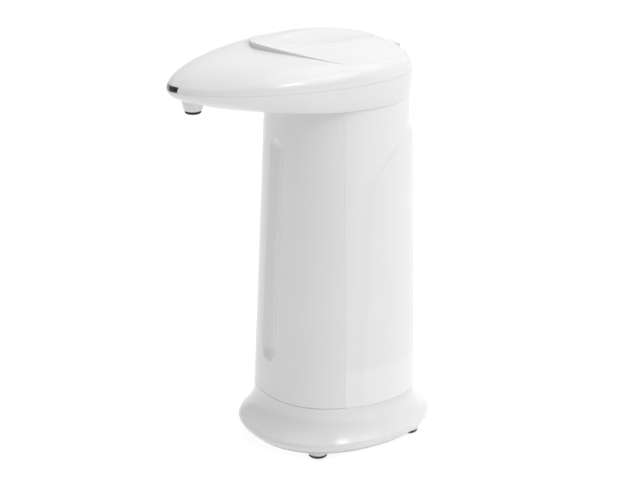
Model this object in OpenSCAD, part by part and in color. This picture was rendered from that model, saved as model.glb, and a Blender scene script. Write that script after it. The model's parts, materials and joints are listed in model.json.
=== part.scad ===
// Touch-free soap dispenser for a countertop, battery powered.
// A column on a flared base carries a head that reaches forward over the hand.
// +Z is up, the nose points along -Y, and the feet stand on z = 0.

/* [Base] */
// Width of the base across its lip
base_w = 79.5; // [78:0.5:84]
// Depth of the base from the front of its lip to the rear
base_d = 90; // [88:0.5:94]
// Height of the widest line of the lip above the table
lip_z = 7.5; // [7:0.5:9]
// How far the rounded underside of the lip turns in
lip_turn = 5; // [4:0.5:5]
// Gap between the rim of the base and the table
rim_gap = 2.6; // [2.4:0.1:3]
// Height of the joint between base and column
base_top = 23.5; // [23.5:0.5:26]
// Height of the straight collar above the flare
collar_h = 3; // [1:0.5:4]
// How late the flare sweeps outwards, where 1 is a straight slope
flare_bend = 2; // [1.6:0.1:2.4]
// Wall of the base
skirt_wall = 2.2; // [1.8:0.1:2.4]
// Width of the ledge inside the top of the base
deck_in = 5.5; // [5:0.5:6]
// Thickness of that ledge and of the bottom plate
deck_t = 2; // [1.6:0.1:2.4]

/* [Feet] */
// Distance between the left and right feet
foot_gap_x = 52; // [50:1:54]
// Distance between the front and rear feet
foot_gap_y = 50; // [48:1:54]
// Diameter of a foot
foot_d = 9; // [8:0.5:10]
// Thickness of the rubber pad of a foot
pad_t = 1.6; // [1.2:0.1:2]

/* [Column] */
// Width of the column at its foot
column_w = 69.6; // [69:0.2:72]
// Depth of the column at its foot
column_d = 73.6; // [73:0.2:76]
// Width of the column under the head
column_top_w = 67.8; // [67:0.2:70]
// Reach of the front of the column under the head
column_top_front = 29; // [28.5:0.5:32]
// Reach of the rear of the column under the head
column_top_rear = 32; // [31.5:0.5:33]
// Height of the column
column_h = 139.5; // [130:0.5:150]
// Squareness of the column's section, where 2 is an ellipse
column_square = 2.2; // [2.1:0.05:2.4]
// Distance of the seam between cover and tank ahead of the column's middle
seam_front = 14.5; // [14:0.5:15.5]
// Wall of the front cover
cover_wall = 2; // [1.6:0.1:2.2]
// Wall of the tank
tank_wall = 2; // [1.6:0.1:2.4]
// Height of the tank's floor above the base joint
tank_floor_h = 19.5; // [19:0.5:24]
// Rise of the raised panel round the back of the tank
panel_rise = 1.6; // [1:0.1:2]
// Height of the panel's upper edge at its front, above the base joint
panel_h = 104; // [96:1:108]

/* [Flute] */
// Width of the flute down the front cover
flute_w = 13; // [10:0.5:16]
// Depth of the flute
flute_t = 2.2; // [1:0.1:2.5]
// Height of the flute's lower end above the base joint
flute_low = 23; // [18:1:28]
// Length of the flute
flute_len = 92; // [80:1:98]

/* [Head] */
// Width of the head at its parting line
head_w = 72.8; // [72:0.2:75]
// Reach of the nose ahead of the column's middle
nose_reach = 83; // [81:0.5:88]
// Reach of the back of the head behind the column's middle
head_rear = 34; // [33:0.5:35]
// Distance of the head's widest line ahead of the column's middle
head_mid = 8.8; // [8:0.2:10]
// Pointedness of the nose, where 1 is an ellipse
nose_sharp = 1.27; // [1.15:0.01:1.35]
// Height of the lower shell of the head
head_low_h = 12; // [11.5:0.5:14]
// Height of the dome above the parting line
dome_h = 14; // [13.6:0.1:15.5]
// Fullness of the dome at its sides
dome_full = 2.56; // [2.4:0.02:2.8]
// Fullness of the dome at the nose
nose_full = 2.12; // [2:0.02:2.4]
// Fullness of the dome at its rear
back_full = 2.02; // [2:0.02:2.4]
// Wall of the head's shells
head_wall = 2; // [1.8:0.1:2.2]

/* [Lid] */
// Reach of the lid's front tip ahead of the column's middle
lid_tip = 41.5; // [40:0.5:44]
// Width of the head's rim beside the lid's corners
lid_side = 4; // [3.6:0.1:5]
// Width of the head's rim behind the lid's round back
lid_rim = 3; // [3:0.1:4]
// Reach of the lid's straight back edge behind the column's middle
lid_back = 28; // [27:0.5:28.5]
// Height of the step at the lid's front tip
lid_step = 2.4; // [1.6:0.1:2.6]
// Gap round the lid
lid_gap = 0.5; // [0.4:0.05:0.6]
// Thickness of the lid
lid_t = 2; // [1.6:0.1:2.2]
// Depth of the finger dish in the lid
dish_t = 1.8; // [1:0.1:2.4]
// Half width of the finger dish
dish_w = 12; // [10:0.5:14]
// Half length of the finger dish
dish_l = 23.5; // [20:0.5:24.5]
// Distance of the middle of the finger dish ahead of the column's axis
dish_mid = 4.5; // [3:0.5:7]

/* [Filler] */
// Bore of the filler neck
neck_bore = 30; // [26:0.5:31]
// Wall of the filler neck
neck_wall = 1.6; // [1.4:0.1:2]

/* [Nozzle and sensor] */
// Distance of the nozzle ahead of the column's middle
nozzle_reach = 71.5; // [69:0.5:73]
// Diameter of the nozzle's tip
nozzle_d = 8; // [7.5:0.1:8.6]
// Height of the nozzle's tip below the head's parting line
nozzle_drop = 10; // [9:0.5:10.5]
// Width of the sensor window
window_w = 11; // [9:0.5:12]
// Height of the sensor window
window_h = 2.4; // [2:0.1:2.8]

/* [Batteries] */
// Diameter of an AAA cell
cell_d = 10.5; // [10.3:0.1:10.6]
// Length of an AAA cell
cell_len = 44.5; // [44:0.1:44.6]

/* [Drive] */
// Diameter of the motor
motor_d = 13; // [12:0.5:13]
// Length of the motor
motor_len = 22; // [18:0.5:26]
// Gear module
gear_m = 0.8; // [0.8:0.1:0.8]
// Teeth of the motor pinion and of the idler's small wheel
teeth_small = 10; // [10:1:11]
// Teeth of the idler's large wheel
teeth_idler = 30; // [29:1:30]
// Teeth of the rotor wheel
teeth_rotor = 34; // [33:1:34]
// Diameter of the soap hose
hose_d = 5; // [4.4:0.1:5.2]
// Diameter of a pump roller
roller_d = 7; // [6.5:0.1:7.2]

/* [Hidden] */

// Number of points round a shell, and of exact curves
ring_n = 48;
$fn = 48;
// Clearances: still joints, easy fits, running fits of shafts
gap = 0.3;
fit = 0.15;
run = 0.08;
eps = 0.01;

// Heights of the main joints
head_z = base_top + column_h;
part_z = head_z + head_low_h;
deck_z = part_z + 3;
// The origin is under the middle of the whole, so the column stands behind it
axis_y = (nose_reach - base_d / 2) / 2;

// ---- Outlines ----

function spow(v, e) = sign(v) * pow(abs(v), e);
function mix(a, b, t) = a + (b - a) * t;
function clamp(v) = min(1, max(0, v));
function smooth(v) = let (t = clamp(v)) t * t * (3 - 2 * t);
function ring_angles(n) = [for (i = [0:n - 1]) -180 + 360 * i / n];
function raise(ring, z) = [for (p = ring) [p[0], p[1], z]];

// A point of a squared oval with its own reach to the front and to the rear
function oval(a, w, front, rear, square) =
    [w * spow(cos(a), 2 / square), (sin(a) < 0 ? front : rear) * spow(sin(a), 2 / square)];

// The column's section at a height above the base joint, drawn in by a wall
function column_half(h) = mix(column_w / 2, column_top_w / 2, h / column_h);
function column_front(h) = mix(column_d / 2, column_top_front, h / column_h);
function column_rear(h) = mix(column_d / 2 - panel_rise, column_top_rear, h / column_h);
function column_point(a, h, inset) =
    oval(a, column_half(h) - inset, column_front(h) - inset, column_rear(h) - inset, column_square);

// The head's outline at the parting line: a squared oval behind, an egg's tip ahead
function head_point(a, inset) = sin(a) < 0
    ? [(head_w / 2 - inset) * spow(cos(a), nose_sharp),
       -head_mid + (nose_reach - head_mid - inset) * sin(a)]
    : [(head_w / 2 - inset) * spow(cos(a), 2 / column_square),
       -head_mid + (head_rear + head_mid - inset) * spow(sin(a), 2 / column_square)];

// How far out a place lies between the crest (0) and the parting line (1), by halving
function spread(x, y, inset, lo = 0, hi = 1.2, n = 14) =
    let (s = (lo + hi) / 2,
         w = (head_w / 2 - inset) * s,
         v = y + head_mid,
         reach = (v < 0 ? nose_reach - head_mid : head_rear + head_mid) - inset,
         ex = v < 0 ? 2 / nose_sharp : column_square,
         ey = v < 0 ? 2 : column_square,
         q = pow(abs(x) / w, ex) + pow(abs(v) / (reach * s), ey))
    n == 0 ? s : (q > 1 ? spread(x, y, inset, s, hi, n - 1) : spread(x, y, inset, lo, s, n - 1));

// Height of the dome's skin over a place, with the wall taken off inside
function dome_z(x, y, inset) =
    let (s = min(1, spread(x, y, inset)),
         ahead = clamp(-(y + head_mid) / (nose_reach - head_mid)),
         behind = clamp((y + head_mid) / (head_rear + head_mid)),
         full = dome_full + (nose_full - dome_full) * ahead + (back_full - dome_full) * behind)
    part_z + (dome_h - inset) * pow(max(0, 1 - pow(s, full)), 1 / full);

// The lid's outline: a blunt V ahead, the head's own curve behind, a straight back edge
lid_corner_y = -head_mid - 1.2;
lid_half = head_w / 2 - lid_side;
lid_round = head_rear - lid_rim - lid_corner_y;
function lid_point(a, out) = sin(a) < 0
    ? [(lid_half + out) * spow(cos(a), 1.38),
       lid_corner_y + (lid_tip + lid_corner_y + out) * spow(sin(a), 1.38)]
    : [(lid_half + out) * spow(cos(a), 2 / column_square),
       min(lid_back + out, lid_corner_y + (lid_round + out) * spow(sin(a), 2 / column_square))];

// Height of the lid's skin: the dome, the step rising to the tip and the finger dish
lid_sweep = 2.2;
function lid_rise(y) = lid_step * pow(clamp(-(y + head_mid) / (lid_tip - head_mid)), lid_sweep);
function dish_drop(x, y) =
    let (q = pow(x / dish_w, 2) + pow((y + dish_mid) / dish_l, 2)) dish_t * pow(max(0, 1 - q), 0.8);
function lid_z(x, y) = dome_z(x, y, 0) + lid_rise(y) - dish_drop(x, y);

// ---- Solids from rings ----

// A closed solid through rings of equal count; joined closes the last ring on the first,
// and folded rings run out along one side and back along the other
module loft(rings, joined = false, folded = false) {
    n = len(rings[0]);
    m = len(rings);
    sides = [for (k = [0:(joined ? m - 1 : m - 2)], i = [0:n - 1])
        let (a = k * n + i, b = k * n + (i + 1) % n, d = ((k + 1) % m) * n)
        each [[a, d + (i + 1) % n, b], [a, d + i, d + (i + 1) % n]]];
    last = (m - 1) * n;
    strips = [for (i = [0:n / 2 - 2])
        each [[i, i + 1, n - 2 - i, n - 1 - i],
            [last + n - 1 - i, last + n - 2 - i, last + i + 1, last + i]]];
    caps = joined ? [] : folded ? strips : [[for (i = [0:n - 1]) i], [for (i = [n - 1:-1:0]) last + i]];
    polyhedron(points = [for (r = rings) each r], faces = concat(sides, caps));
}

// A tube swept along a route, hollow when it has a bore
module hose(route, d, bore, sides = 10) {
    m = len(route);
    along = [for (k = [0:m - 1]) unit(route[min(m - 1, k + 1)] - route[max(0, k - 1)])];
    rings = function (r) [for (k = [0:m - 1])
        let (side = abs(along[k][0]) > 0.9 ? [0, 1, 0] : [1, 0, 0],
             u = unit(cross(along[k], side)), v = cross(along[k], u))
        [for (i = [0:sides - 1]) route[k] + r * (cos(360 * i / sides) * u + sin(360 * i / sides) * v)]];
    outer = rings(d / 2);
    inner = rings(bore / 2);
    loft(concat(outer, [for (k = [m - 1:-1:0]) inner[k]]), joined = true);
}
function unit(v) = v / norm(v);

// A spur wheel with straight-sided teeth, thin enough to run free in its mate
module gear(teeth, h, turn = 0) {
    pitch = 360 / teeth;
    r_out = gear_m * (teeth / 2 + 0.9);
    r_in = gear_m * (teeth / 2 - 1.2);
    half = function (share) pitch * share / 2;
    linear_extrude(height = h)
        polygon([for (i = [0:teeth - 1]) let (c = turn + pitch * i) each [
            r_in * [cos(c - half(0.5)), sin(c - half(0.5))],
            r_out * [cos(c - half(0.16)), sin(c - half(0.16))],
            r_out * [cos(c + half(0.16)), sin(c + half(0.16))],
            r_in * [cos(c + half(0.5)), sin(c + half(0.5))]]]);
}

// A pan-head screw pointing up from its head at the origin
module screw(d, shank, head_d, head_t) {
    difference() {
        union() {
            cylinder(d = head_d, h = head_t);
            translate([0, 0, head_t - eps]) cylinder(d = d, h = shank + eps);
        }
        for (turn = [0, 90]) rotate(turn)
            translate([-head_d / 3, -head_d / 12, -eps]) cube([2 * head_d / 3, head_d / 6, head_t / 2]);
    }
}

module placed() translate([0, axis_y, 0]) children();
// One child at each place, all at one height
module at(places, z) for (p = places) translate([p[0], p[1], z]) children();

// ---- Places inside, from the column's middle ----

plate_z = rim_gap;
plate_top = plate_z + deck_t;
plate_edge = 1.2;
foot_r = foot_d / 2;
foot_at = [for (x = [-1, 1], y = [-1, 1]) [x * foot_gap_x / 2, y * foot_gap_y / 2]];
base_boss_at = [for (x = [-1, 1], y = [-1, 1]) [x * (column_w / 2 - 8), y * 17]];
base_boss_d = 6;
screw_d = 2.6;
screw_head_d = 4.6;
screw_head_t = 1.8;

// Battery bay
cell_gap = 0.4;
cell_z = plate_top + cell_gap + cell_d / 2;
cell_x = function (i) (i - 1.5) * (cell_d + cell_gap);
bay_w = 4 * cell_d + 5 * cell_gap;
contact_t = 2.4;
bay_l = cell_len + 2 * contact_t;
tray_wall = 1.2;
tray_top = cell_z + cell_d / 2 + cell_gap + tray_wall;
door_lap = 0.6;
door_lug_y = -bay_l / 2 - 4.2;
lug_d = 5.2;

// Switch beside the battery door
switch_y = base_d / 2 - lip_turn - 4.7;
switch_travel = 3;

// Works floor and spine
floor_top = base_top + deck_t;
spine_y = -seam_front - 2.1;
spine_t = 1.8;
deck_screw_x = column_w / 2 - skirt_wall - deck_in / 2;
deck_screw_y = column_d / 2 - skirt_wall - deck_in / 2;
side_screw_at = [[-deck_screw_x, 0], [deck_screw_x, 0]];
end_screw_at = [[0, -deck_screw_y], [0, deck_screw_y]];
column_screw_at = concat(side_screw_at, end_screw_at);
column_boss_d = 5.6;
column_boss_h = 6;
head_screw_at = [for (x = [-1, 1]) [x * 18, spine_y - 1.5]];
board_x = -7;
board_y = spine_y - 3;
board_t = 1.6;
board_w = 27;
board_h = 56;
board_z = base_top + 48;
plug_up = 2;
board_screw_z = [board_z + 6, board_z + board_h - 6];

// Gear train along the middle line, two levels one above the other
mesh_slack = 0.1;
motor_y = spine_y - motor_d / 2 - 0.4;
idler_y = motor_y + gear_m * (teeth_small + teeth_idler) / 2 + mesh_slack;
rotor_y = idler_y + gear_m * (teeth_small + teeth_rotor) / 2 + mesh_slack;
wheel_t = 2;
level_a = floor_top + 0.5;
level_b = level_a + wheel_t + 0.5;
shaft_d = 3;
axle_d = 2.5;
motor_shaft_d = 2;
motor_z = level_b + wheel_t + 3;
shelf_t = 2;

// Pump above the rotor wheel
pump_z = level_b + wheel_t + 0.6;
pump_floor_t = 1.4;
hose_bore = 3;
hose_z = pump_z + pump_floor_t + hose_d / 2 + gap;
race_r = roller_d + 9 + hose_d / 2 - 0.5;
roller_orbit = race_r - hose_d / 2 - roller_d / 2 - gap;
roller_h = 3.4;
roller_pin_d = 2;
pump_r = race_r + hose_d / 2 + gap + 1.7;
pump_lid_z = hose_z + hose_d / 2 + gap + 0.2;
pump_lid_t = 1.2;
post_d = 5.2;
pump_screw_d = 2;
pump_post_at = [for (x = [-1, 1]) each [[x * (pump_r + 1.2), idler_y + 5], [x * 16.8, rotor_y + 16]]];

// Tank
tank_floor_z = base_top + tank_floor_h;
tank_front_y = -seam_front + gap;
spout_y = tank_front_y + tank_wall + 4;

// Head
neck_y = 8;
neck_r = neck_bore / 2;
neck_out = neck_r + neck_wall;
flange_w = 3;
plug_r = neck_r - 1;
plug_t = 1.6;
plug_low = deck_z - 1.4;
hinge_y = lid_back - 1.4;
pin_d = 1.4;
pin_len = 20.4;
barrel_r = 1.5;
hinge_z = dome_z(0, hinge_y, 0) - barrel_r - 0.1;
riser_x = race_r;
riser_y = spine_y - 6;
riser_top = [11, spine_y - 3.6];
nozzle_tip_z = part_z - nozzle_drop;
insert_d = 5.4;
insert_h = 3;
barb_d = hose_bore - 0.2;
sensor_y = -nose_reach + 6;
sensor_z = part_z + window_h / 2;

// ---- Base ----

// Share of the flare at a height, from 0 at the column to 1 at the lip
flare_top = base_top - collar_h;
function flare(z) = z < lip_z ? 1 : z > flare_top ? 0
    : pow((flare_top - z) / (flare_top - lip_z), flare_bend);
function turn_in(z) = z < lip_z ? lip_turn * (1 - sqrt(1 - pow((lip_z - z) / (lip_z - rim_gap), 2))) : 0;
function skirt_ring(z, inset) =
    let (d = turn_in(z) + inset,
         w = mix(column_w, base_w, flare(z)) / 2 - d,
         l = mix(column_d, base_d, flare(z)) / 2 - d)
    [for (a = ring_angles(ring_n)) let (p = oval(a, w, l, l, column_square)) [p[0], p[1], z]];
skirt_levels = concat([for (i = [0:3]) mix(plate_top, lip_z, i / 3)],
    [for (i = [1:9]) mix(lip_z, flare_top, i / 9)], [base_top]);
under_deck = base_top - deck_t;

module base_skirt() {
    outer = [for (z = skirt_levels) skirt_ring(z, 0)];
    inner_z = [for (z = skirt_levels) if (z < under_deck - 0.5) z];
    deck = [skirt_ring(base_top, skirt_wall + deck_in),
        [for (p = skirt_ring(base_top, skirt_wall + deck_in)) [p[0], p[1], under_deck]],
        skirt_ring(under_deck, skirt_wall)];
    inner = [for (i = [len(inner_z) - 1:-1:0]) skirt_ring(inner_z[i], skirt_wall)];
    color("white") placed() difference() {
        union() {
            loft(concat(outer, deck, inner), joined = true);
            at(base_boss_at, plate_top)
                cylinder(d = base_boss_d, h = under_deck + deck_t / 2 - plate_top);
        }
        at(base_boss_at, plate_top - eps) cylinder(d = screw_d, h = 10);
        at(column_screw_at, under_deck - 1)
            cylinder(d = screw_d + gap, h = deck_t + 2);
    }
}

module plate_outline(inset) {
    w = base_w / 2 - turn_in(plate_top) - inset;
    l = base_d / 2 - turn_in(plate_top) - inset;
    polygon([for (a = ring_angles(2 * ring_n)) oval(a, w, l, l, column_square)]);
}
// The battery door keeps clear of the feet at its corners
module door_outline(grow) {
    w = bay_w / 2 + door_lap + grow;
    l = bay_l / 2 + door_lap + grow;
    difference() {
        union() {
            translate([-w, -l]) square([2 * w, 2 * l]);
            translate([0, door_lug_y + 2]) circle(r = lug_d + grow);
        }
        for (p = foot_at) translate(p) circle(r = foot_r + 2 * gap - grow);
    }
}

module bottom_plate() {
    color("gainsboro") placed() difference() {
        union() {
            translate([0, 0, plate_z]) linear_extrude(height = deck_t / 2) difference() {
                plate_outline(2 * plate_edge);
                door_outline(gap);
            }
            translate([0, 0, plate_z + deck_t / 2]) linear_extrude(height = deck_t / 2) difference() {
                plate_outline(plate_edge);
                door_outline(gap);
            }
            at(foot_at, pad_t) cylinder(r = foot_r, h = plate_top - pad_t);
        }
        at(base_boss_at, plate_z - 1) cylinder(d = screw_d + gap, h = deck_t + 2);
        at(foot_at, pad_t - 1) cylinder(d = foot_r, h = 2.6);
        translate([-switch_travel / 2 - 2.3, switch_y - 1.7, plate_z - 1])
            cube([switch_travel + 4.6, 3.4, deck_t + 2]);
    }
}

module battery_door() {
    color("whitesmoke") placed() difference() {
        translate([0, 0, plate_z]) linear_extrude(height = deck_t) door_outline(0);
        translate([0, door_lug_y, plate_z - 1]) cylinder(d = screw_d + gap, h = deck_t + 2);
        // Finger grooves
        for (i = [0:3]) translate([-8, bay_l / 2 - 4 - 2.4 * i, plate_z - eps]) cube([16, 1, 0.6]);
    }
}

module battery_tray() {
    color("dimgray") placed() difference() {
        union() {
            translate([-bay_w / 2 - tray_wall, -bay_l / 2 - tray_wall, plate_top])
                cube([bay_w + 2 * tray_wall, bay_l + 2 * tray_wall, tray_top - plate_top]);
            translate([0, door_lug_y, plate_top]) cylinder(d = lug_d, h = tray_top - plate_top);
            translate([-2, door_lug_y, plate_top]) cube([4, -bay_l / 2 - door_lug_y, tray_top - plate_top]);
        }
        translate([-bay_w / 2, -bay_l / 2, plate_top - 1])
            cube([bay_w, bay_l, tray_top - plate_top - tray_wall + 1]);
        translate([0, door_lug_y, plate_top - 1]) cylinder(d = screw_d, h = 8);
    }
}

module battery_cell(i) {
    nub = 1;
    turn = i % 2 == 0 ? 90 : -90;
    color("darkseagreen") placed() translate([cell_x(i - 1), 0, cell_z]) rotate([turn, 0, 0])
        translate([0, 0, -cell_len / 2]) rotate_extrude() polygon([[0, 0], [cell_d / 2 - 0.5, 0],
            [cell_d / 2, 0.5], [cell_d / 2, cell_len - nub - 0.5], [cell_d / 2 - 0.5, cell_len - nub],
            [1.9, cell_len - nub], [1.9, cell_len], [0, cell_len]]);
}

// Plates and coil springs at the ends of the bay
module battery_contacts() {
    plate_t = 0.5;
    wire = 0.6;
    color("silver") placed() for (i = [0:3], end = [-1, 1]) {
        translate([cell_x(i) - 4, end * (bay_l / 2 - plate_t / 2) - plate_t / 2, cell_z - 4])
            cube([8, plate_t, 8]);
        springy = (i % 2 == 0) == (end > 0);
        inner = bay_l / 2 - plate_t;
        if (springy) {
            for (turn = [0:2]) translate([cell_x(i), end * (inner - wire / 2 - turn * wire), cell_z])
                rotate([90, 0, 0]) difference() {
                    cylinder(r = 3.2 - 0.4 * turn, h = wire, center = true);
                    cylinder(r = 3.2 - 0.4 * turn - wire, h = wire + 1, center = true);
                }
        }
    }
}

module foot_pad(i) {
    p = foot_at[i - 1];
    color("dimgray") placed() translate([p[0], p[1], 0]) {
        cylinder(r = foot_r - 0.3, h = pad_t);
        translate([0, 0, pad_t]) cylinder(d = foot_r - 0.1, h = 1.4);
    }
}

module switch_body() {
    color("black") placed() difference() {
        translate([-6.5, switch_y - 2.8, plate_top]) cube([13, 5.6, 4]);
        translate([-switch_travel / 2 - 3.1, switch_y - 2, plate_top - 1])
            cube([switch_travel + 6.2, 4, 2.6]);
    }
}
module switch_slider() {
    color("red") placed() translate([-switch_travel / 2, switch_y, 0]) {
        translate([-2, -1.4, plate_z + 0.3]) cube([4, 2.8, deck_t + 0.4]);
        translate([-2.8, -1.8, plate_top + 0.2]) cube([5.6, 3.6, 1.2]);
    }
}

// ---- Works ----

module works_frame() {
    shelf_w = 19;
    color("lightgray") placed() difference() {
        union() {
            // Floor on the ledge of the base
            translate([0, 0, base_top]) linear_extrude(height = deck_t)
                polygon([for (a = ring_angles(2 * ring_n)) column_point(a, 0, cover_wall + gap)]);
            // Spine between the cover and the tank
            translate([-26, spine_y, base_top]) cube([52, spine_t, head_z - base_top]);
            // Motor shelf and its ring
            translate([-shelf_w / 2, motor_y - motor_d / 2, motor_z - shelf_t])
                cube([shelf_w, spine_y - motor_y + motor_d / 2 + 1, shelf_t]);
            translate([0, motor_y, motor_z]) cylinder(d = motor_d + 2 * fit + 1.6, h = 5);
            at(side_screw_at, base_top) cylinder(d = column_boss_d, h = column_boss_h);
            at(pump_post_at, base_top) cylinder(d = post_d, h = pump_z - base_top);
            at(head_screw_at, head_z - 14) cylinder(d = column_boss_d, h = 14);
            for (z = board_screw_z) translate([board_x, spine_y + 1, z]) rotate([90, 0, 0])
                cylinder(d = 4, h = 3);
        }
        // Openings for the gears and the hose through the spine
        translate([-15, spine_y - 1, floor_top]) cube([30, spine_t + 2, motor_z - shelf_t - floor_top]);
        translate([riser_x - hose_d / 2 - 1, spine_y - 1, hose_z - hose_d / 2 - 1])
            cube([hose_d + 2, spine_t + 2, hose_d + 2]);
        // Bores for the screws, axles, motor and wires
        at(side_screw_at, base_top - 1) cylinder(d = screw_d, h = column_boss_h);
        at(end_screw_at, base_top - 1) cylinder(d = column_boss_d + 2 * gap, h = deck_t + 2);
        at(pump_post_at, base_top + 1) cylinder(d = pump_screw_d, h = 20);
        at(head_screw_at, head_z - 9) cylinder(d = screw_d, h = 10);
        for (z = board_screw_z) translate([board_x, spine_y + 3, z]) rotate([90, 0, 0])
            cylinder(d = pump_screw_d, h = 8);
        translate([0, idler_y, base_top + 0.5]) cylinder(d = axle_d, h = 4);
        translate([0, rotor_y, base_top + 0.5]) cylinder(d = shaft_d + 2 * run, h = 4);
        translate([0, motor_y, motor_z]) cylinder(d = motor_d + 2 * fit, h = 6);
        translate([0, motor_y, motor_z - shelf_t - 1]) cylinder(d = 6 + 2 * fit, h = shelf_t + 2);
        translate([wire_x, wire_y, base_top - 1]) cylinder(d = wire_d + 1, h = 4);
    }
}
wire_x = -12;
wire_y = -22.6;
wire_d = 2;

module pump_motor() {
    color("silver") placed() translate([0, motor_y, motor_z]) difference() {
        union() {
            cylinder(d = motor_d, h = motor_len);
            translate([0, 0, -1.2]) cylinder(d = 6, h = 1.3);
            translate([0, 0, -(motor_z - level_a)]) cylinder(d = motor_shaft_d, h = motor_z - level_a);
            translate([0, 0, motor_len - eps]) cylinder(d = 5, h = 1.5);
            for (x = [-4.6, 3.8]) translate([x, -1, motor_len - eps]) cube([0.8, 2, 3]);
        }
        translate([0, 0, motor_len + 1]) cylinder(d = 2, h = 2);
    }
}

module motor_pinion() {
    color("white") placed() translate([0, motor_y, level_a]) difference() {
        gear(teeth_small, wheel_t, 90 + 180 / teeth_small);
        translate([0, 0, -1]) cylinder(d = motor_shaft_d, h = wheel_t + 2);
    }
}

module idler_gear() {
    color("white") placed() translate([0, idler_y, level_a]) difference() {
        union() {
            gear(teeth_idler, wheel_t, -90);
            translate([0, 0, wheel_t - eps]) cylinder(r = 2.6, h = 0.5 + 2 * eps);
            translate([0, 0, wheel_t + 0.5]) gear(teeth_small, wheel_t, 90);
        }
        translate([0, 0, -1]) cylinder(d = axle_d + 2 * run, h = 2 * wheel_t + 3);
    }
}

module idler_axle() {
    color("silver") placed() translate([0, idler_y, base_top + 0.5])
        cylinder(d = axle_d, h = pump_z - base_top - 0.7);
}

module rotor_gear() {
    color("white") placed() translate([0, rotor_y, level_b]) difference() {
        gear(teeth_rotor, wheel_t, -90 + 180 / teeth_rotor);
        translate([0, 0, -1]) cylinder(d = shaft_d, h = wheel_t + 2);
    }
}

module rotor_shaft() {
    color("silver") placed() translate([0, rotor_y, base_top + 0.7])
        cylinder(d = shaft_d, h = pump_lid_z + pump_lid_t - base_top - 0.7);
}

module pump_rotor() {
    disc_z = pump_z + pump_floor_t + gap;
    color("orange") placed() translate([0, rotor_y, disc_z]) difference() {
        union() {
            cylinder(r = roller_orbit + 2.4, h = 0.8);
            cylinder(r = roller_orbit - roller_d / 2 - 1, h = roller_h + 1);
            for (i = [0:2]) rotate(120 * i) translate([roller_orbit, 0, 0])
                cylinder(d = roller_pin_d, h = roller_h + 1);
        }
        translate([0, 0, -1]) cylinder(d = shaft_d, h = roller_h + 4);
    }
}

module pump_roller(i) {
    color("white") placed() translate([0, rotor_y, pump_z + pump_floor_t + gap + 0.9]) rotate(120 * (i - 1))
        translate([roller_orbit, 0, 0]) difference() {
            cylinder(d = roller_d, h = roller_h);
            translate([0, 0, -1]) cylinder(d = roller_pin_d + 2 * run, h = roller_h + 2);
        }
}

module pump_ears(z, t) {
    at(pump_post_at, z) cylinder(d = post_d + 1, h = t);
}
module pump_ear_webs(z, t) {
    for (p = pump_post_at) translate([min(0, p[0]), p[1] - 2, z]) cube([abs(p[0]), 4, t]);
}

module pump_housing() {
    wall_h = pump_lid_z - pump_z;
    color("ivory") placed() difference() {
        union() {
            translate([0, rotor_y, pump_z]) cylinder(r = pump_r, h = wall_h);
            pump_ears(pump_z, wall_h);
            pump_ear_webs(pump_z, pump_floor_t);
        }
        translate([0, rotor_y, pump_z + pump_floor_t]) cylinder(r = race_r + hose_d / 2 + gap, h = wall_h);
        translate([0, rotor_y, pump_z - 1]) cylinder(d = shaft_d + 2, h = wall_h);
        for (x = [-race_r, race_r])
            translate([x - hose_d / 2 - gap, rotor_y - pump_r - 4, pump_z + pump_floor_t])
                cube([hose_d + 2 * gap, pump_r, wall_h]);
        at(pump_post_at, pump_z - 1) cylinder(d = pump_screw_d + gap, h = wall_h + 2);
    }
}

module pump_lid() {
    color("ivory") placed() difference() {
        union() {
            translate([0, rotor_y, pump_lid_z]) cylinder(r = pump_r, h = pump_lid_t);
            pump_ears(pump_lid_z, pump_lid_t);
            pump_ear_webs(pump_lid_z, pump_lid_t);
        }
        translate([0, rotor_y, pump_lid_z - 1]) cylinder(d = shaft_d + 2 * run, h = pump_lid_t + 2);
        at(pump_post_at, pump_lid_z - 1)
            cylinder(d = pump_screw_d + gap, h = pump_lid_t + 2);
    }
}

// The soap's way: round the pump's race, up the column and out to the nozzle
module outlet_hose() {
    z = hose_z;
    top = part_z - 1.5;
    turn_r = 6;
    drop_r = 3.6;
    race = [for (a = [180:-12:0]) [race_r * cos(a), rotor_y + race_r * sin(a), z]];
    foot_bend = [for (a = [0:22.5:90])
        [riser_x, riser_y + turn_r * (1 - sin(a)), z + turn_r * (1 - cos(a))]];
    climb = [for (i = [1:7]) [mix(riser_x, riser_top[0], i / 8), mix(riser_y, riser_top[1], i / 8),
        mix(z + turn_r, top - turn_r, i / 8)]];
    head_bend = [for (a = [0:22.5:90])
        [riser_top[0], riser_top[1] - turn_r * (1 - cos(a)), top - turn_r * (1 - sin(a))]];
    forward = [for (i = [1:5]) let (t = i / 5)
        [riser_top[0] * (1 - smooth(t)), mix(riser_top[1] - turn_r, -nozzle_reach + drop_r, t), top]];
    drop = [for (a = [22.5:22.5:90])
        [0, -nozzle_reach + drop_r * (1 - sin(a)), top - drop_r * (1 - cos(a))]];
    end = [0, -nozzle_reach, nozzle_tip_z + insert_h + gap];
    start = [[-race_r, spout_y + 3, z], [-race_r, rotor_y - 6, z]];
    color("lightblue") placed()
        hose(concat(start, race, [[riser_x, 0, z]], foot_bend, climb, head_bend, forward, drop, [end]),
            hose_d, hose_bore);
}

module tank_elbow() {
    color("white") placed() difference() {
        union() {
            translate([-race_r, spout_y, hose_z - 2.2]) cylinder(d = 4.4, h = tank_floor_z - hose_z + 2.2);
            translate([-race_r, spout_y, hose_z]) rotate([-90, 0, 0]) cylinder(d = barb_d, h = 7);
            translate([-race_r, spout_y, tank_floor_z]) cylinder(d = 7, h = 1);
        }
        translate([-race_r, spout_y, hose_z]) cylinder(d = 2, h = 20);
        translate([-race_r, spout_y, hose_z]) rotate([-90, 0, 0]) cylinder(d = 1.6, h = 8);
    }
}

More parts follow.
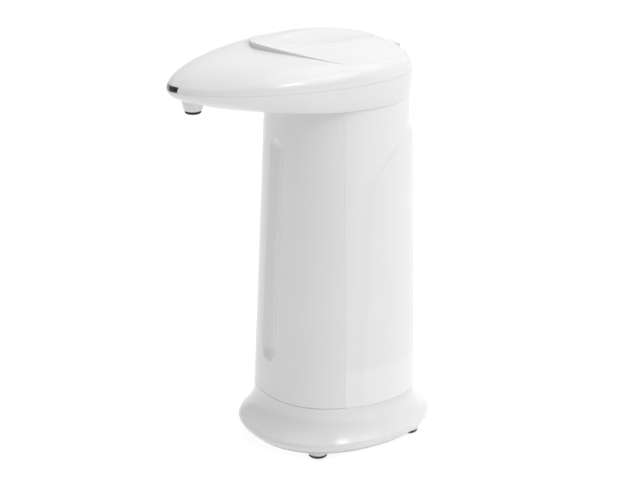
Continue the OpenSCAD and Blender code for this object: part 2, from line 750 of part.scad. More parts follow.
module control_board() {
    color("darkgreen") placed() difference() {
        union() {
            translate([board_x - 15, board_y - board_t, board_z]) cube([board_w, board_t, board_h]);
            translate([board_x - 7, board_y - 3.2, board_z + 22]) cube([10, 1.7, 10]);
            translate([board_x - 14, board_y - 5.2, board_z + plug_up]) cube([10, 3.7, 5]);
            for (z = [14, 40]) translate([board_x + 6, board_y - 1.5, board_z + z]) rotate([90, 0, 0])
                cylinder(d = 5, h = 6);
            for (i = [0:4]) translate([board_x - 13 + 4 * i, board_y - 2.3, board_z + 36])
                cube([2, 0.8, 1.2]);
        }
        for (z = board_screw_z) translate([board_x, spine_y, z]) rotate([90, 0, 0])
            cylinder(d = pump_screw_d + gap, h = 8);
    }
}

module battery_wires() {
    route = [[wire_x, wire_y, tray_top], [wire_x, wire_y, base_top], [wire_x, wire_y, board_z - 28],
        [wire_x - 2, wire_y, board_z - 12], [wire_x - 4, wire_y, board_z - 4],
        [wire_x - 4, wire_y, board_z + plug_up - gap]];
    color("crimson") placed() hose(route, wire_d, wire_d / 2, 8);
}

// ---- Column ----

// Depth of the flute over a place on the front
function flute_in(x, h) =
    let (end = clamp((flute_low - h) / flute_w * 2) + clamp((h - flute_low - flute_len) / flute_w * 2),
         q = pow(x / (flute_w / 2), 2) + pow(end, 2))
    q < 1 ? flute_t * sqrt(1 - q) : 0;
cover_turn = asin(pow(seam_front / (column_d / 2), column_square / 2));
// Angles across the cover, close together over the flute
cover_angles = let (side = 90 - cover_turn) concat(
    [for (i = [0:8]) -90 - side + (side - 14) * i / 9],
    [for (i = [-7:7]) -90 + 2 * i],
    [for (i = [8:-1:0]) -90 + side - (side - 14) * i / 9]);
function edge_turn(h, y, inset) = asin(pow(y / (column_front(h) - inset), column_square / 2));
function cover_skin(h, inset) = [for (a = cover_angles)
    let (lim = edge_turn(h, seam_front, inset), t = (a + 90) / (90 - cover_turn),
         p = column_point(-90 + t * (90 - lim), h, inset))
    [p[0], p[1] + flute_in(p[0], h), base_top + h]];

// A screw boss behind the skin, with a rib that ties it to the wall
module column_boss() {
    rib_z = base_top + deck_t + gap;
    translate([0, deck_screw_y, base_top]) cylinder(d = column_boss_d, h = column_boss_h);
    translate([-1.5, deck_screw_y, rib_z])
        cube([3, column_d / 2 - cover_wall / 2 - deck_screw_y, base_top + column_boss_h - rib_z]);
}

module front_cover() {
    lower = [for (k = [0:4]) flute_low - flute_w / 2 * cos(22.5 * k)];
    upper = [for (k = [4:-1:0]) flute_low + flute_len + flute_w / 2 * cos(22.5 * k)];
    middle = [for (i = [1:5]) flute_low + flute_len * i / 6];
    levels = concat([0], lower, middle, upper, [column_h - gap]);
    rings = [for (h = levels) let (inner = cover_skin(h, cover_wall))
        concat(cover_skin(h, 0), [for (i = [len(inner) - 1:-1:0]) inner[i]])];
    color("white") placed() difference() {
        union() {
            loft(rings, folded = true);
            rotate(180) column_boss();
        }
        translate([0, -deck_screw_y, base_top - 1]) cylinder(d = screw_d, h = column_boss_h);
    }
}

// The raised panel: its front edge leans to the rear on the way up, its upper edge climbs to the rear
panel_climb = 20;
panel_front = 8.5;
panel_lean = 6;
panel_soft = 12;
function panel(x, y, h) =
    let (edge = panel_h + panel_climb * sin(clamp((y + 4) / 28) * 90),
         front = panel_lean * h / panel_h - panel_front)
    panel_rise * smooth((y - front) / panel_soft + 0.5) * smooth((edge - h + 3) / 6);
function tank_ring(h, inset, rise = 1) =
    let (lim = asin(pow((-tank_front_y - inset) / (column_front(h) - inset), column_square / 2)))
    [for (i = [0:40]) let (a = -lim + (180 + 2 * lim) * i / 40, p = column_point(a, h, inset),
        out = rise * panel(p[0], p[1], h), n = norm(p))
        [p[0] * (1 + out / n), p[1] * (1 + out / n), base_top + h]];

module soap_tank() {
    levels = concat([for (i = [0:4]) panel_h * 0.8 * i / 4],
        [for (i = [1:12]) mix(panel_h * 0.8, column_h - 4, i / 12)], [column_h - gap]);
    floor_h = tank_floor_h;
    inner_levels = [column_h - gap, column_h - 12, panel_h + 10, panel_h, panel_h - 10, floor_h];
    rings = concat([tank_ring(floor_h - tank_wall, tank_wall), tank_ring(0, tank_wall)],
        [for (h = levels) tank_ring(h, 0)], [for (h = inner_levels) tank_ring(h, tank_wall)]);
    way_w = 2 * (pump_r + post_d + 1);
    color("white", 0.9) placed() difference() {
        union() {
            difference() {
                loft(rings);
                // Room for the works' floor inside the foot of the walls
                translate([0, 0, base_top - 1]) linear_extrude(height = 1 + deck_t + gap)
                    polygon([for (a = ring_angles(2 * ring_n)) column_point(a, 0, tank_wall + 0.1)]);
            }
            column_boss();
        }
        translate([0, deck_screw_y, base_top - 1]) cylinder(d = screw_d, h = column_boss_h);
        // Way for the gears and hoses under the tank's floor
        translate([-way_w / 2, tank_front_y - 1, base_top - 1])
            cube([way_w, tank_wall + 2, floor_h - tank_wall]);
        // Outlet
        translate([-race_r, spout_y, tank_floor_z - tank_wall - 1]) cylinder(d = 4.4, h = tank_wall + 2);
    }
}

module tank_gasket() {
    h = column_h - gap;
    ring = function (inset, z) raise(tank_ring(h, inset, 0), z);
    out = tank_wall + 0.2;
    thick = 2;
    color("gray") placed() loft([ring(out, head_z - 3), ring(out, head_z), ring(out + thick, head_z),
        ring(out + thick, head_z - 3)], joined = true);
}

// ---- Head ----

// The lower shell's skin from the column's top (0) to the parting line (1)
belly = 1.9;
function low_skin(t, inset) =
    let (out = pow(sin(90 * t), 2 / belly), up = 1 - pow(cos(90 * t), 2 / belly))
    [for (a = ring_angles(ring_n)) let (c = column_point(a, column_h, inset), e = head_point(a, inset))
        [mix(c[0], e[0], out), mix(c[1], e[1], out),
         mix(head_z + (inset > 0 ? head_wall : 0), part_z, up)]];

module head_lower_shell() {
    steps = 9;
    outer = [for (k = [0:steps]) low_skin(k / steps, 0)];
    inner = [for (k = [steps:-1:0]) low_skin(k / steps, head_wall)];
    boss_top = nozzle_tip_z + insert_h + 2;
    color("white") placed() difference() {
        union() {
            loft(concat(outer, inner));
            translate([0, -nozzle_reach, nozzle_tip_z])
                cylinder(d1 = nozzle_d, d2 = nozzle_d + 2.6, h = boss_top - nozzle_tip_z);
            translate([-3, sensor_y + 2, part_z - 6]) cube([6, 1.2, 4.5]);
        }
        translate([0, -nozzle_reach, nozzle_tip_z - 1]) cylinder(d = insert_d, h = insert_h + 2);
        translate([0, -nozzle_reach, nozzle_tip_z + insert_h])
            cylinder(d = hose_d + 1.6, h = part_z - nozzle_tip_z);
        translate([0, neck_y, head_z - 1]) cylinder(r = neck_out + gap, h = head_wall + 2);
        translate([riser_top[0], riser_top[1], head_z - 1]) cylinder(d = hose_d + 1, h = head_wall + 2);
        at(head_screw_at, head_z - 1) cylinder(d = screw_d + gap, h = head_wall + 2);
    }
}

// The upper shell's skin from the parting line (0) to the lid's opening (1)
function top_skin(t, inset, out) =
    let (u = pow(t, 2))
    [for (a = ring_angles(ring_n)) let (e = head_point(a, inset), o = lid_point(a, out),
        x = mix(e[0], o[0], u), y = mix(e[1], o[1], u)) [x, y, t == 0 ? part_z : dome_z(x, y, inset)]];

module head_upper_shell() {
    steps = 9;
    outer = [for (k = [0:steps]) top_skin(k / steps, 0, lid_gap)];
    inner = [for (k = [steps:-1:0]) top_skin(k / steps, head_wall, lid_gap)];
    color("white") placed() difference() {
        loft(concat(outer, inner), joined = true);
        translate([-window_w / 2 - fit, -nose_reach - 1, part_z - 1])
            cube([window_w + 2 * fit, 8, window_h + fit + 1]);
    }
}

// The deck's edge, clear of the dome's inner skin
deck_plate_t = 1.5;
deck_share = pow(1 - pow((deck_z - part_z) / (dome_h - head_wall), back_full), 1 / back_full);
function deck_point(a) =
    let (p = head_point(a, head_wall + gap), m = [0, -head_mid]) m + (p - m) * deck_share;

// An upright wall from the deck to the shell's edge, round the front of the lid's opening
module deck_wall() {
    near = lid_gap + 0.2;
    far = near + 1.2;
    rings = [for (a = [-171:9:-9]) let (p = lid_point(a, near), q = lid_point(a, far),
        top = max(deck_z + 0.2, dome_z(q[0], q[1], head_wall) - gap))
        [[q[0], q[1], deck_z - 0.5], [p[0], p[1], deck_z - 0.5], [p[0], p[1], top], [q[0], q[1], top]]];
    loft(rings);
}

module filler_deck() {
    reach = barrel_r + 0.3;
    color("whitesmoke") placed() difference() {
        union() {
            translate([0, 0, deck_z - deck_plate_t]) linear_extrude(height = deck_plate_t) intersection() {
                polygon([for (a = ring_angles(ring_n)) lid_point(a, lid_gap + 3)]);
                polygon([for (a = ring_angles(ring_n)) deck_point(a)]);
            }
            deck_wall();
            translate([0, neck_y, head_z - 3]) cylinder(r = neck_out, h = deck_z - head_z + 2);
            translate([0, neck_y, head_z + head_wall]) cylinder(r = neck_out + flange_w, h = 1.5);
            for (x = hinge_ears()) translate([x[0], hinge_y - barrel_r, deck_z - eps])
                cube([x[1], 2 * barrel_r, hinge_z - deck_z + eps]);
            for (x = hinge_ears()) translate([x[0], hinge_y, hinge_z]) rotate([0, 90, 0])
                cylinder(r = barrel_r, h = x[1]);
        }
        translate([0, neck_y, head_z - 4]) cylinder(r = neck_r, h = deck_z - head_z + 5);
        translate([-20, hinge_y, hinge_z]) rotate([0, 90, 0]) cylinder(d = pin_d, h = 40);
    }
}
// Start and width of each ear of the hinge, and of the lid's knuckles between them
function hinge_ears() = [[-10.4, 2], [-3, 6], [8.4, 2]];
function hinge_knuckles() = [[-8.2, 5], [3.2, 5]];

module fill_lid() {
    steps = 9;
    shrink = function (t) [for (a = ring_angles(ring_n)) let (p = lid_point(a, 0), c = [0, -head_mid - 1])
        [mix(p[0], c[0], t), mix(p[1], c[1], t)]];
    skin = function (t, drop) [for (p = shrink(t)) [p[0], p[1], lid_z(p[0], p[1]) - drop]];
    share = function (k) min(0.985, pow(k / steps, 1.3));
    top_rings = [for (k = [0:steps]) skin(share(k), 0)];
    low_rings = [for (k = [steps:-1:0]) skin(share(k), lid_t)];
    plug_top = lid_z(0, neck_y - plug_r) - lid_t / 2;
    color("white") placed() difference() {
        union() {
            difference() {
                loft(concat(low_rings, top_rings));
                for (x = hinge_ears()) translate([x[0] - 0.2, hinge_y - barrel_r - 0.5, hinge_z - 5])
                    cube([x[1] + 0.4, 10, 10]);
            }
            difference() {
                translate([0, neck_y, plug_low]) cylinder(r = plug_r, h = plug_top - plug_low);
                translate([0, neck_y, plug_low - 1])
                    cylinder(r = plug_r - plug_t, h = plug_top - plug_low + 2);
            }
            for (x = hinge_knuckles()) translate([x[0], hinge_y, hinge_z]) rotate([0, 90, 0])
                cylinder(r = barrel_r, h = x[1]);
        }
        translate([-20, hinge_y, hinge_z]) rotate([0, 90, 0]) cylinder(d = pin_d + 2 * run, h = 40);
    }
}

module lid_hinge_pin() {
    color("silver") placed() translate([-pin_len / 2, hinge_y, hinge_z]) rotate([0, 90, 0])
        cylinder(d = pin_d, h = pin_len);
}

module lid_seal() {
    color("gray") placed() translate([0, neck_y, plug_low + 0.3]) difference() {
        cylinder(r = neck_r - 0.3, h = 0.9);
        translate([0, 0, -1]) cylinder(r = plug_r, h = 3);
    }
}

module sensor_window() {
    outline = function (inset) [for (a = [-130:2:-50]) head_point(a, inset)];
    color("black") placed() translate([0, 0, part_z]) linear_extrude(height = window_h) intersection() {
        polygon(concat(outline(0.4), [for (i = [40:-1:0]) outline(0.4 + 1.4)[i]]));
        translate([-window_w / 2, -nose_reach - 1]) square([window_w, 7]);
    }
}

module sensor_board() {
    color("darkgreen") placed() translate([-6, sensor_y + 2, part_z - 1.5]) cube([12, 1.2, 4.4]);
}
module lamp(x, d, length) {
    placed() translate([x, sensor_y + 2, sensor_z]) rotate([90, 0, 0]) cylinder(d = d, h = length);
}
module ir_emitter() { color("indigo") lamp(-3.4, 2.6, 2.6); }
module ir_receiver() { color("black") lamp(3.4, 2.6, 2.6); }
module status_lamp() { color("red") lamp(0, 1.8, 3); }

module nozzle_insert() {
    tip_t = 1.3;
    color("black") placed() translate([0, -nozzle_reach, nozzle_tip_z]) difference() {
        union() {
            translate([0, 0, -tip_t]) cylinder(d = nozzle_d - 0.8, h = tip_t);
            cylinder(d = insert_d - 0.1, h = insert_h);
            cylinder(d = barb_d, h = insert_h + 1.8);
        }
        translate([0, 0, -tip_t - 1]) cylinder(d = 1.6, h = 20);
    }
}

// ---- Screws ----

module base_screws() {
    color("silver") placed() {
        at(base_boss_at, plate_z - screw_head_t) screw(screw_d, 9, screw_head_d, screw_head_t);
        translate([0, door_lug_y, plate_z - screw_head_t]) screw(screw_d, 8, screw_head_d, screw_head_t);
    }
}
module column_screws() {
    color("silver") placed() at(column_screw_at, under_deck - screw_head_t)
        screw(screw_d, 6, screw_head_d, screw_head_t);
}
module head_screws() {
    color("silver") placed() at(head_screw_at, head_z + head_wall + screw_head_t) mirror([0, 0, 1])
            screw(screw_d, 9, screw_head_d, screw_head_t);
}
module pump_screws() {
    head_t = 1;
    color("silver") placed() at(pump_post_at, pump_lid_z + pump_lid_t + head_t) mirror([0, 0, 1])
        screw(pump_screw_d, 12, 3.8, head_t);
}
module board_screws() {
    head_t = 1;
    color("silver") placed() for (z = board_screw_z)
        translate([board_x, board_y - board_t - head_t, z]) rotate([-90, 0, 0])
            screw(pump_screw_d, 5, 3.6, head_t);
}

base_skirt();
bottom_plate();
battery_door();
battery_tray();
battery_cell(1);  // battery_cell_1
battery_cell(2);  // battery_cell_2
battery_cell(3);  // battery_cell_3
battery_cell(4);  // battery_cell_4
battery_contacts();
foot_pad(1);  // foot_pad_1
foot_pad(2);  // foot_pad_2
foot_pad(3);  // foot_pad_3
foot_pad(4);  // foot_pad_4
switch_body();
switch_slider();
works_frame();
front_cover();
soap_tank();
tank_gasket();
head_lower_shell();
head_upper_shell();
filler_deck();
fill_lid();
lid_hinge_pin();
lid_seal();
sensor_window();
sensor_board();
ir_emitter();
ir_receiver();
status_lamp();
nozzle_insert();
outlet_hose();
pump_motor();
motor_pinion();
idler_gear();
idler_axle();
rotor_gear();
rotor_shaft();
pump_rotor();
pump_roller(1);  // pump_roller_1
pump_roller(2);  // pump_roller_2
pump_roller(3);  // pump_roller_3
pump_housing();
pump_lid();
tank_elbow();
control_board();
battery_wires();
base_screws();
column_screws();
head_screws();
pump_screws();
board_screws();
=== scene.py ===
# %% [markdown]
# # A touch-free soap dispenser
# The real object is a white moulded column on a flared foot. Its head reaches forward over the hand, a
# sensor looks out of the nose, and the nozzle hangs from the underside of the head. The rear half of the
# column is the soap tank, and a lid on the head swings up for refilling.
# The mechanism comes in as a fixed frame from the engineering model. This lesson makes the outer shells
# again with smooth skins, gives every part a finish, and then sets the light and the camera.

# %% The frame
import json
from math import acos, asin, cos, pi, radians, sin, sqrt

import bmesh
import bpy
from mathutils import Matrix, Vector


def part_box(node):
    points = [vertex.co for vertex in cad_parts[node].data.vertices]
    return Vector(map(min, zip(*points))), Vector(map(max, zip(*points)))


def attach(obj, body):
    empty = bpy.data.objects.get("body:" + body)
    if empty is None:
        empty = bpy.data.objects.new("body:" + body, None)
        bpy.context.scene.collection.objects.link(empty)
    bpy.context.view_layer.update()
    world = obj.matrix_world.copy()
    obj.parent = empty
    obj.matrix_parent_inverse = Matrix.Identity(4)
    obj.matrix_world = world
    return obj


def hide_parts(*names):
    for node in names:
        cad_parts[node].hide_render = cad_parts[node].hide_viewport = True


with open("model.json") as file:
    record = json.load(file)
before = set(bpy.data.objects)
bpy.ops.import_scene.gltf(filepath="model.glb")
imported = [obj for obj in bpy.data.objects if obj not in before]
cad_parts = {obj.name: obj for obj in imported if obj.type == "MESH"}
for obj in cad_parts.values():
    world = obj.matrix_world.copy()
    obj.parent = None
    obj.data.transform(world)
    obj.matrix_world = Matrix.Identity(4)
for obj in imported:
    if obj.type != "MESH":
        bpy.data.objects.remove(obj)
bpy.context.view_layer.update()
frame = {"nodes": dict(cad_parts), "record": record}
print("parts in the frame:", len(frame["nodes"]))

# %% [markdown]
# ## Sizes
# A shell that is made again has to sit exactly where the engineering part sits. So the size of the base,
# the heights, and the head's width and reach are read from the parts themselves, and the other sizes and
# the numbers that say how round or how pointed a form is are written here. Everything is in millimetres
# until the last step, which turns a mesh into metres.

# %% Sizes of the column and the base
MM = 0.001


def extent(node):
    """Lowest and highest corner of a part, in millimetres."""
    low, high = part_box(node)
    return low / MM, high / MM


base_low, base_high = extent("base_skirt")
cover_high = extent("front_cover")[1]
AXIS_Y = (base_low.y + base_high.y) / 2
base_w = base_high.x - base_low.x
base_d = base_high.y - base_low.y
rim_z, base_top = base_low.z, base_high.z
joint_gap = 0.3
column_h = cover_high.z - base_top + joint_gap
head_z = base_top + column_h
SQUARE = 2.2
column_w, column_d = 69.6, 73.6
column_top_w, column_top_front, column_top_rear = 67.8, 29.0, 32.0
seam_front = 14.5
panel_rise = 1.6
print(f"base {base_w:.1f} x {base_d:.1f}, column {column_h:.1f} high on the axis y = {AXIS_Y:.2f}")

# %% Sizes of the head and the lid
top_low, top_high = extent("head_upper_shell")
head_w = top_high.x - top_low.x
nose_reach = AXIS_Y - extent("head_lower_shell")[0].y
head_rear = top_high.y - AXIS_Y
part_z = top_low.z
head_mid = 8.8
nose_sharp = 1.27
dome_h = 14.0
dome_full, nose_full, back_full = 2.56, 2.12, 2.02
lid_tip, lid_side, lid_rim, lid_back = 41.5, 4.0, 3.0, 28.0
lid_step, lid_sweep, lid_gap, lid_wall = 2.4, 2.2, 0.2, 2.0
dish_t, dish_w, dish_l, dish_mid = 1.8, 12.0, 23.5, 4.5
print(f"head {head_w:.1f} wide, nose {nose_reach:.1f} ahead of the axis, parting line at {part_z:.1f}")

# %% [markdown]
# ## Outlines
# Seen from above, the column is a squared oval and the head is an egg with its tip at the nose. Both
# come from a circle whose cosine and sine are raised to a power: below 1 the curve grows corners, above
# 1 it grows a point. That one trick draws every outline of this object.

# %% Curve helpers
def spow(value, power):
    """A power that keeps the sign."""
    return abs(value) ** power * (1 if value >= 0 else -1)


def mix(a, b, t):
    """The place a share t of the way from a to b."""
    return a + (b - a) * t


def clamp(t):
    return min(1.0, max(0.0, t))


def smooth(t):
    """A soft step from 0 to 1."""
    t = clamp(t)
    return t * t * (3 - 2 * t)


def steps(*spans):
    """Places along a line from the first number: each span that follows is (end, count)."""
    places = [spans[0]]
    for end, count in spans[1:]:
        start = places[-1]
        places += [mix(start, end, (i + 1) / count) for i in range(count)]
    return places


# %% The column's section at a height above the base
def oval(a, half, front, rear):
    """A squared oval with a front and a rear half of their own lengths."""
    reach = front if sin(a) < 0 else rear
    return half * spow(cos(a), 2 / SQUARE), reach * spow(sin(a), 2 / SQUARE)


def column_reach(h):
    """Half width, front reach and rear reach of the column at a height."""
    t = h / column_h
    return (mix(column_w, column_top_w, t) / 2, mix(column_d / 2, column_top_front, t),
            mix(column_d / 2 - panel_rise, column_top_rear, t))


def column_point(a, h, inset=0.0):
    half, front, rear = column_reach(h)
    return oval(a, half - inset, front - inset, rear - inset)


# %% The head's outline, its dome and the lid's outline
def head_point(a, inset=0.0):
    half = head_w / 2 - inset
    if sin(a) < 0:
        return half * spow(cos(a), nose_sharp), -head_mid + (nose_reach - head_mid - inset) * sin(a)
    reach = head_rear + head_mid - inset
    return half * spow(cos(a), 2 / SQUARE), -head_mid + reach * spow(sin(a), 2 / SQUARE)


def spread(x, y):
    """How far out a place lies: 0 at the crest of the dome and 1 at the parting line."""
    v = y + head_mid
    power_x, power_y = (2 / nose_sharp, 2) if v < 0 else (SQUARE, SQUARE)
    reach = nose_reach - head_mid if v < 0 else head_rear + head_mid
    low, high = 0.0, 1.2
    for _ in range(26):
        s = (low + high) / 2
        if (abs(x) / (head_w / 2 * s)) ** power_x + (abs(v) / (reach * s)) ** power_y > 1:
            low = s
        else:
            high = s
    return s


def fullness(y):
    """How full the dome's arch is: it changes from the middle to the nose and to the back."""
    ahead = clamp(-(y + head_mid) / (nose_reach - head_mid))
    behind = clamp((y + head_mid) / (head_rear + head_mid))
    return dome_full + (nose_full - dome_full) * ahead + (back_full - dome_full) * behind


def dome_z(x, y):
    full = fullness(y)
    return part_z + dome_h * max(0.0, 1 - min(1.0, spread(x, y)) ** full) ** (1 / full)


lid_corner_y = -head_mid - 1.2
lid_half = head_w / 2 - lid_side
lid_round = head_rear - lid_rim - lid_corner_y
LID_V = 1.38


def lid_point(a, out=0.0):
    if sin(a) < 0:
        return ((lid_half + out) * spow(cos(a), LID_V),
                lid_corner_y + (lid_tip + lid_corner_y + out) * spow(sin(a), LID_V))
    return ((lid_half + out) * spow(cos(a), 2 / SQUARE),
            min(lid_back + out, lid_corner_y + (lid_round + out) * spow(sin(a), 2 / SQUARE)))


def lid_z(x, y):
    """The lid's skin: the dome, the step that rises to the tip, and the finger dish."""
    rise = lid_step * clamp(-(y + head_mid) / (lid_tip - head_mid)) ** lid_sweep
    bowl = max(0.0, 1 - (x / dish_w) ** 2 - ((y + dish_mid) / dish_l) ** 2)
    return dome_z(x, y) + rise - dish_t * bowl ** 0.8


# %% [markdown]
# ## From a flat sheet to a shell
# An injection-moulded shell is a skin of even thickness. The easiest way to it is to take a flat grid,
# wrap it round the object with a rule that says where each point goes, and let the Solidify modifier
# give it its wall. A Bevel modifier then rounds the rims, because a moulded rim is never sharp, and the
# thin lines of light that show where two shells meet come from those roundings.

# %% Wrapping a grid
def wrap(place, across, up, closed=True):
    """A flat grid wrapped by place(u, v), with its columns at `across` and its rows at `up`."""
    bm = bmesh.new()
    bmesh.ops.create_grid(bm, x_segments=len(across) - 1, y_segments=len(up) - 1, size=0.5)
    for v in bm.verts:
        i = round((v.co.x + 0.5) * (len(across) - 1))
        j = round((v.co.y + 0.5) * (len(up) - 1))
        v.co = Vector(place(across[i], up[j]))
    if closed:
        bmesh.ops.remove_doubles(bm, verts=bm.verts, dist=0.0005)
    return bm


def face_out(bm, centre):
    """Turns the whole skin so that it faces away from a centre."""
    side = sum(f.normal.dot(f.calc_center_median() - centre) * f.calc_area() for f in bm.faces)
    if side < 0:
        bmesh.ops.reverse_faces(bm, faces=bm.faces)
    return bm


# %% Finishing a piece
FINISHES = {}


def finish_piece(bm, name, body, slot, stands_for=(), wall=0.0, rounding=0.0, angle=60):
    """Turns a mesh into a finished piece in metres, with its wall, its rounded rims and its body."""
    bm.normal_update()
    for f in bm.faces:
        f.smooth = True
    bmesh.ops.transform(bm, matrix=Matrix.Translation((0, AXIS_Y, 0)), verts=bm.verts)
    bmesh.ops.scale(bm, vec=(MM, MM, MM), verts=bm.verts)
    mesh = bpy.data.meshes.new(name)
    bm.to_mesh(mesh)
    bm.free()
    piece = bpy.data.objects.new(name, mesh)
    bpy.context.scene.collection.objects.link(piece)
    mesh.materials.append(FINISHES[slot])
    if wall:
        shell = piece.modifiers.new("wall", "SOLIDIFY")
        shell.thickness = wall * MM
        shell.offset = -1.0
        shell.use_even_offset = True
        shell.use_quality_normals = True
    if rounding:
        rim = piece.modifiers.new("rounded rims", "BEVEL")
        rim.width = rounding * MM
        rim.segments = 3
        rim.limit_method = "ANGLE"
        rim.angle_limit = radians(angle)
        rim.harden_normals = True
        rim.use_clamp_overlap = True
    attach(piece, body)
    if stands_for:
        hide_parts(*stands_for)
    print(f"{name}: {len(mesh.polygons)} faces")


def turned(profile, segments=48, centre=(0, 0)):
    """A turned form: a closed profile of (radius, height) spun round an upright axis."""
    bm = bmesh.new()
    verts = [bm.verts.new((centre[0] + r, centre[1], z)) for r, z in profile]
    edges = [bm.edges.new(pair) for pair in zip(verts, verts[1:] + verts[:1])]
    bmesh.ops.spin(bm, geom=verts + edges, cent=(*centre, 0), axis=(0, 0, 1), angle=2 * pi,
                   steps=segments, use_merge=True)
    bmesh.ops.remove_doubles(bm, verts=bm.verts, dist=0.0005)
    bmesh.ops.recalc_face_normals(bm, faces=bm.faces)
    return bm


# %% [markdown]
# ## Finishes
# All the white shells are polished ABS. In a shiny white moulding almost nothing shows but the light on
# it, so its detail is small: the skin is not perfectly flat, it is a little duller where hands and cloths
# have rubbed, and its white drifts a touch. Each of these is a node group, built once and used with other
# values in each finish. A group gives out only a height, a mask or a colour, and the shader stays in the
# material itself.

# %% Small node helpers
def link(tree, source, target):
    tree.links.new(source, target)


def feed(tree, value, socket):
    """Links a node's output to a socket, or sets the socket to a plain value."""
    if hasattr(value, "is_linked"):
        link(tree, value, socket)
    else:
        socket.default_value = value


def group(name, inputs, outputs):
    """An empty node group with named sockets; each input is (name, kind, value)."""
    tree = bpy.data.node_groups.new(name, "ShaderNodeTree")
    for socket, kind, value in inputs:
        made = tree.interface.new_socket(socket, in_out="INPUT", socket_type="NodeSocket" + kind)
        if value is not None:
            made.default_value = value
    for socket, kind in outputs:
        tree.interface.new_socket(socket, in_out="OUTPUT", socket_type="NodeSocket" + kind)
    return tree, tree.nodes.new("NodeGroupInput").outputs, tree.nodes.new("NodeGroupOutput").inputs


def noise(tree, vector, scale, detail=2.0, roughness=0.5):
    """Soft random values between 0 and 1."""
    node = tree.nodes.new("ShaderNodeTexNoise")
    link(tree, vector, node.inputs["Vector"])
    feed(tree, scale, node.inputs["Scale"])
    node.inputs["Detail"].default_value = detail
    node.inputs["Roughness"].default_value = roughness
    return node.outputs["Fac"]


def arith(tree, operation, a, b):
    node = tree.nodes.new("ShaderNodeMath")
    node.operation = operation
    feed(tree, a, node.inputs[0])
    feed(tree, b, node.inputs[1])
    return node.outputs[0]


def between(tree, value, low, high, to_low=0.0, to_high=1.0):
    """A soft step: to_low up to low, to_high from high on."""
    node = tree.nodes.new("ShaderNodeMapRange")
    node.interpolation_type = "SMOOTHSTEP"
    link(tree, value, node.inputs["Value"])
    for socket, number in (("From Min", low), ("From Max", high), ("To Min", to_low), ("To Max", to_high)):
        feed(tree, number, node.inputs[socket])
    return node.outputs["Result"]


def tint(tree, mask, colour_a, colour_b):
    """Colour a where the mask is 0 and colour b where it is 1."""
    node = tree.nodes.new("ShaderNodeMix")
    node.data_type = "RGBA"
    link(tree, mask, node.inputs["Factor"])
    for socket, colour in ((node.inputs[6], colour_a), (node.inputs[7], colour_b)):
        feed(tree, (*colour, 1) if isinstance(colour, tuple) else colour, socket)
    return node.outputs[2]


# %% Node groups: the moulded skin, handling marks and fine grain
def make_moulded_skin():
    """Height of slow waves left by the mould, with finer ripples on them."""
    tree, given, out = group("moulded skin",
                             [("Vector", "Vector", None), ("Wave scale", "Float", 30.0),
                              ("Ripple scale", "Float", 260.0), ("Ripple share", "Float", 0.12)],
                             [("Height", "Float")])
    wave = noise(tree, given["Vector"], given["Wave scale"], 1.0)
    ripple = noise(tree, given["Vector"], given["Ripple scale"])
    share = arith(tree, "MULTIPLY", ripple, given["Ripple share"])
    link(tree, arith(tree, "ADD", wave, share), out["Height"])
    return tree


def make_handling():
    """Roughness that rises in soft patches, and in fine rubbed specks inside them."""
    speck_scale = 160.0
    tree, given, out = group("handling marks",
                             [("Vector", "Vector", None), ("Patch scale", "Float", 45.0),
                              ("Clean", "Float", 0.12), ("Rubbed", "Float", 0.3)],
                             [("Roughness", "Float")])
    patch = between(tree, noise(tree, given["Vector"], given["Patch scale"], 3.0), 0.35, 0.75)
    speck = between(tree, noise(tree, given["Vector"], speck_scale), 0.2, 0.8)
    mask = arith(tree, "MULTIPLY", patch, speck)
    link(tree, between(tree, mask, 0.0, 0.6, given["Clean"], given["Rubbed"]), out["Roughness"])
    return tree


def make_grain():
    """Height and shade of a fine, even grain, as on rubber and spark-eroded plastic."""
    tree, given, out = group("fine grain",
                             [("Vector", "Vector", None), ("Scale", "Float", 1500.0),
                              ("Dark", "Color", (0, 0, 0, 1)), ("Light", "Color", (1, 1, 1, 1))],
                             [("Height", "Float"), ("Color", "Color")])
    grain = noise(tree, given["Vector"], given["Scale"], 4.0, 0.6)
    link(tree, grain, out["Height"])
    link(tree, tint(tree, between(tree, grain, 0.3, 0.7), given["Dark"], given["Light"]), out["Color"])
    return tree


MOULDED_SKIN, HANDLING, GRAIN = make_moulded_skin(), make_handling(), make_grain()
print("node groups:", ", ".join(tree.name for tree in (MOULDED_SKIN, HANDLING, GRAIN)))


# %% A material with its shader and its coordinates
def new_material(name, **constants):
    """A material with a Principled shader, its constants set on the shader's own sockets."""
    material = bpy.data.materials.new(name)
    material.use_nodes = True
    tree = material.node_tree
    shader = tree.nodes["Principled BSDF"]
    for socket, value in constants.items():
        shader.inputs[socket.replace("_", " ")].default_value = value
    return material, tree, shader, tree.nodes.new("ShaderNodeTexCoord").outputs["Object"]


def use(tree, node_group, coordinates, **values):
    """Places a node group in a material with its own values."""
    node = tree.nodes.new("ShaderNodeGroup")
    node.node_tree = node_group
    link(tree, coordinates, node.inputs["Vector"])
    for socket, value in values.items():
        node.inputs[socket].default_value = value
    return node.outputs


def bump(tree, shader, height, strength, distance):
    node = tree.nodes.new("ShaderNodeBump")
    node.inputs["Strength"].default_value = strength
    node.inputs["Distance"].default_value = distance
    link(tree, height, node.inputs["Height"])
    link(tree, node.outputs["Normal"], shader.inputs["Normal"])


def polished_white(name, light, dark, clean, rubbed, **constants):
    """Polished white plastic: a drifting white, slow mould waves and faint handling marks."""
    material, tree, shader, at = new_material(name, **constants)
    drift = between(tree, noise(tree, at, 22.0, 2.0), 0.35, 0.65)
    link(tree, tint(tree, drift, light, dark), shader.inputs["Base Color"])
    marks = use(tree, HANDLING, at, Clean=clean, Rubbed=rubbed)
    link(tree, marks["Roughness"], shader.inputs["Roughness"])
    skin = use(tree, MOULDED_SKIN, at)
    bump(tree, shader, skin["Height"], 0.12, 0.0004)
    return material, tree, shader, at


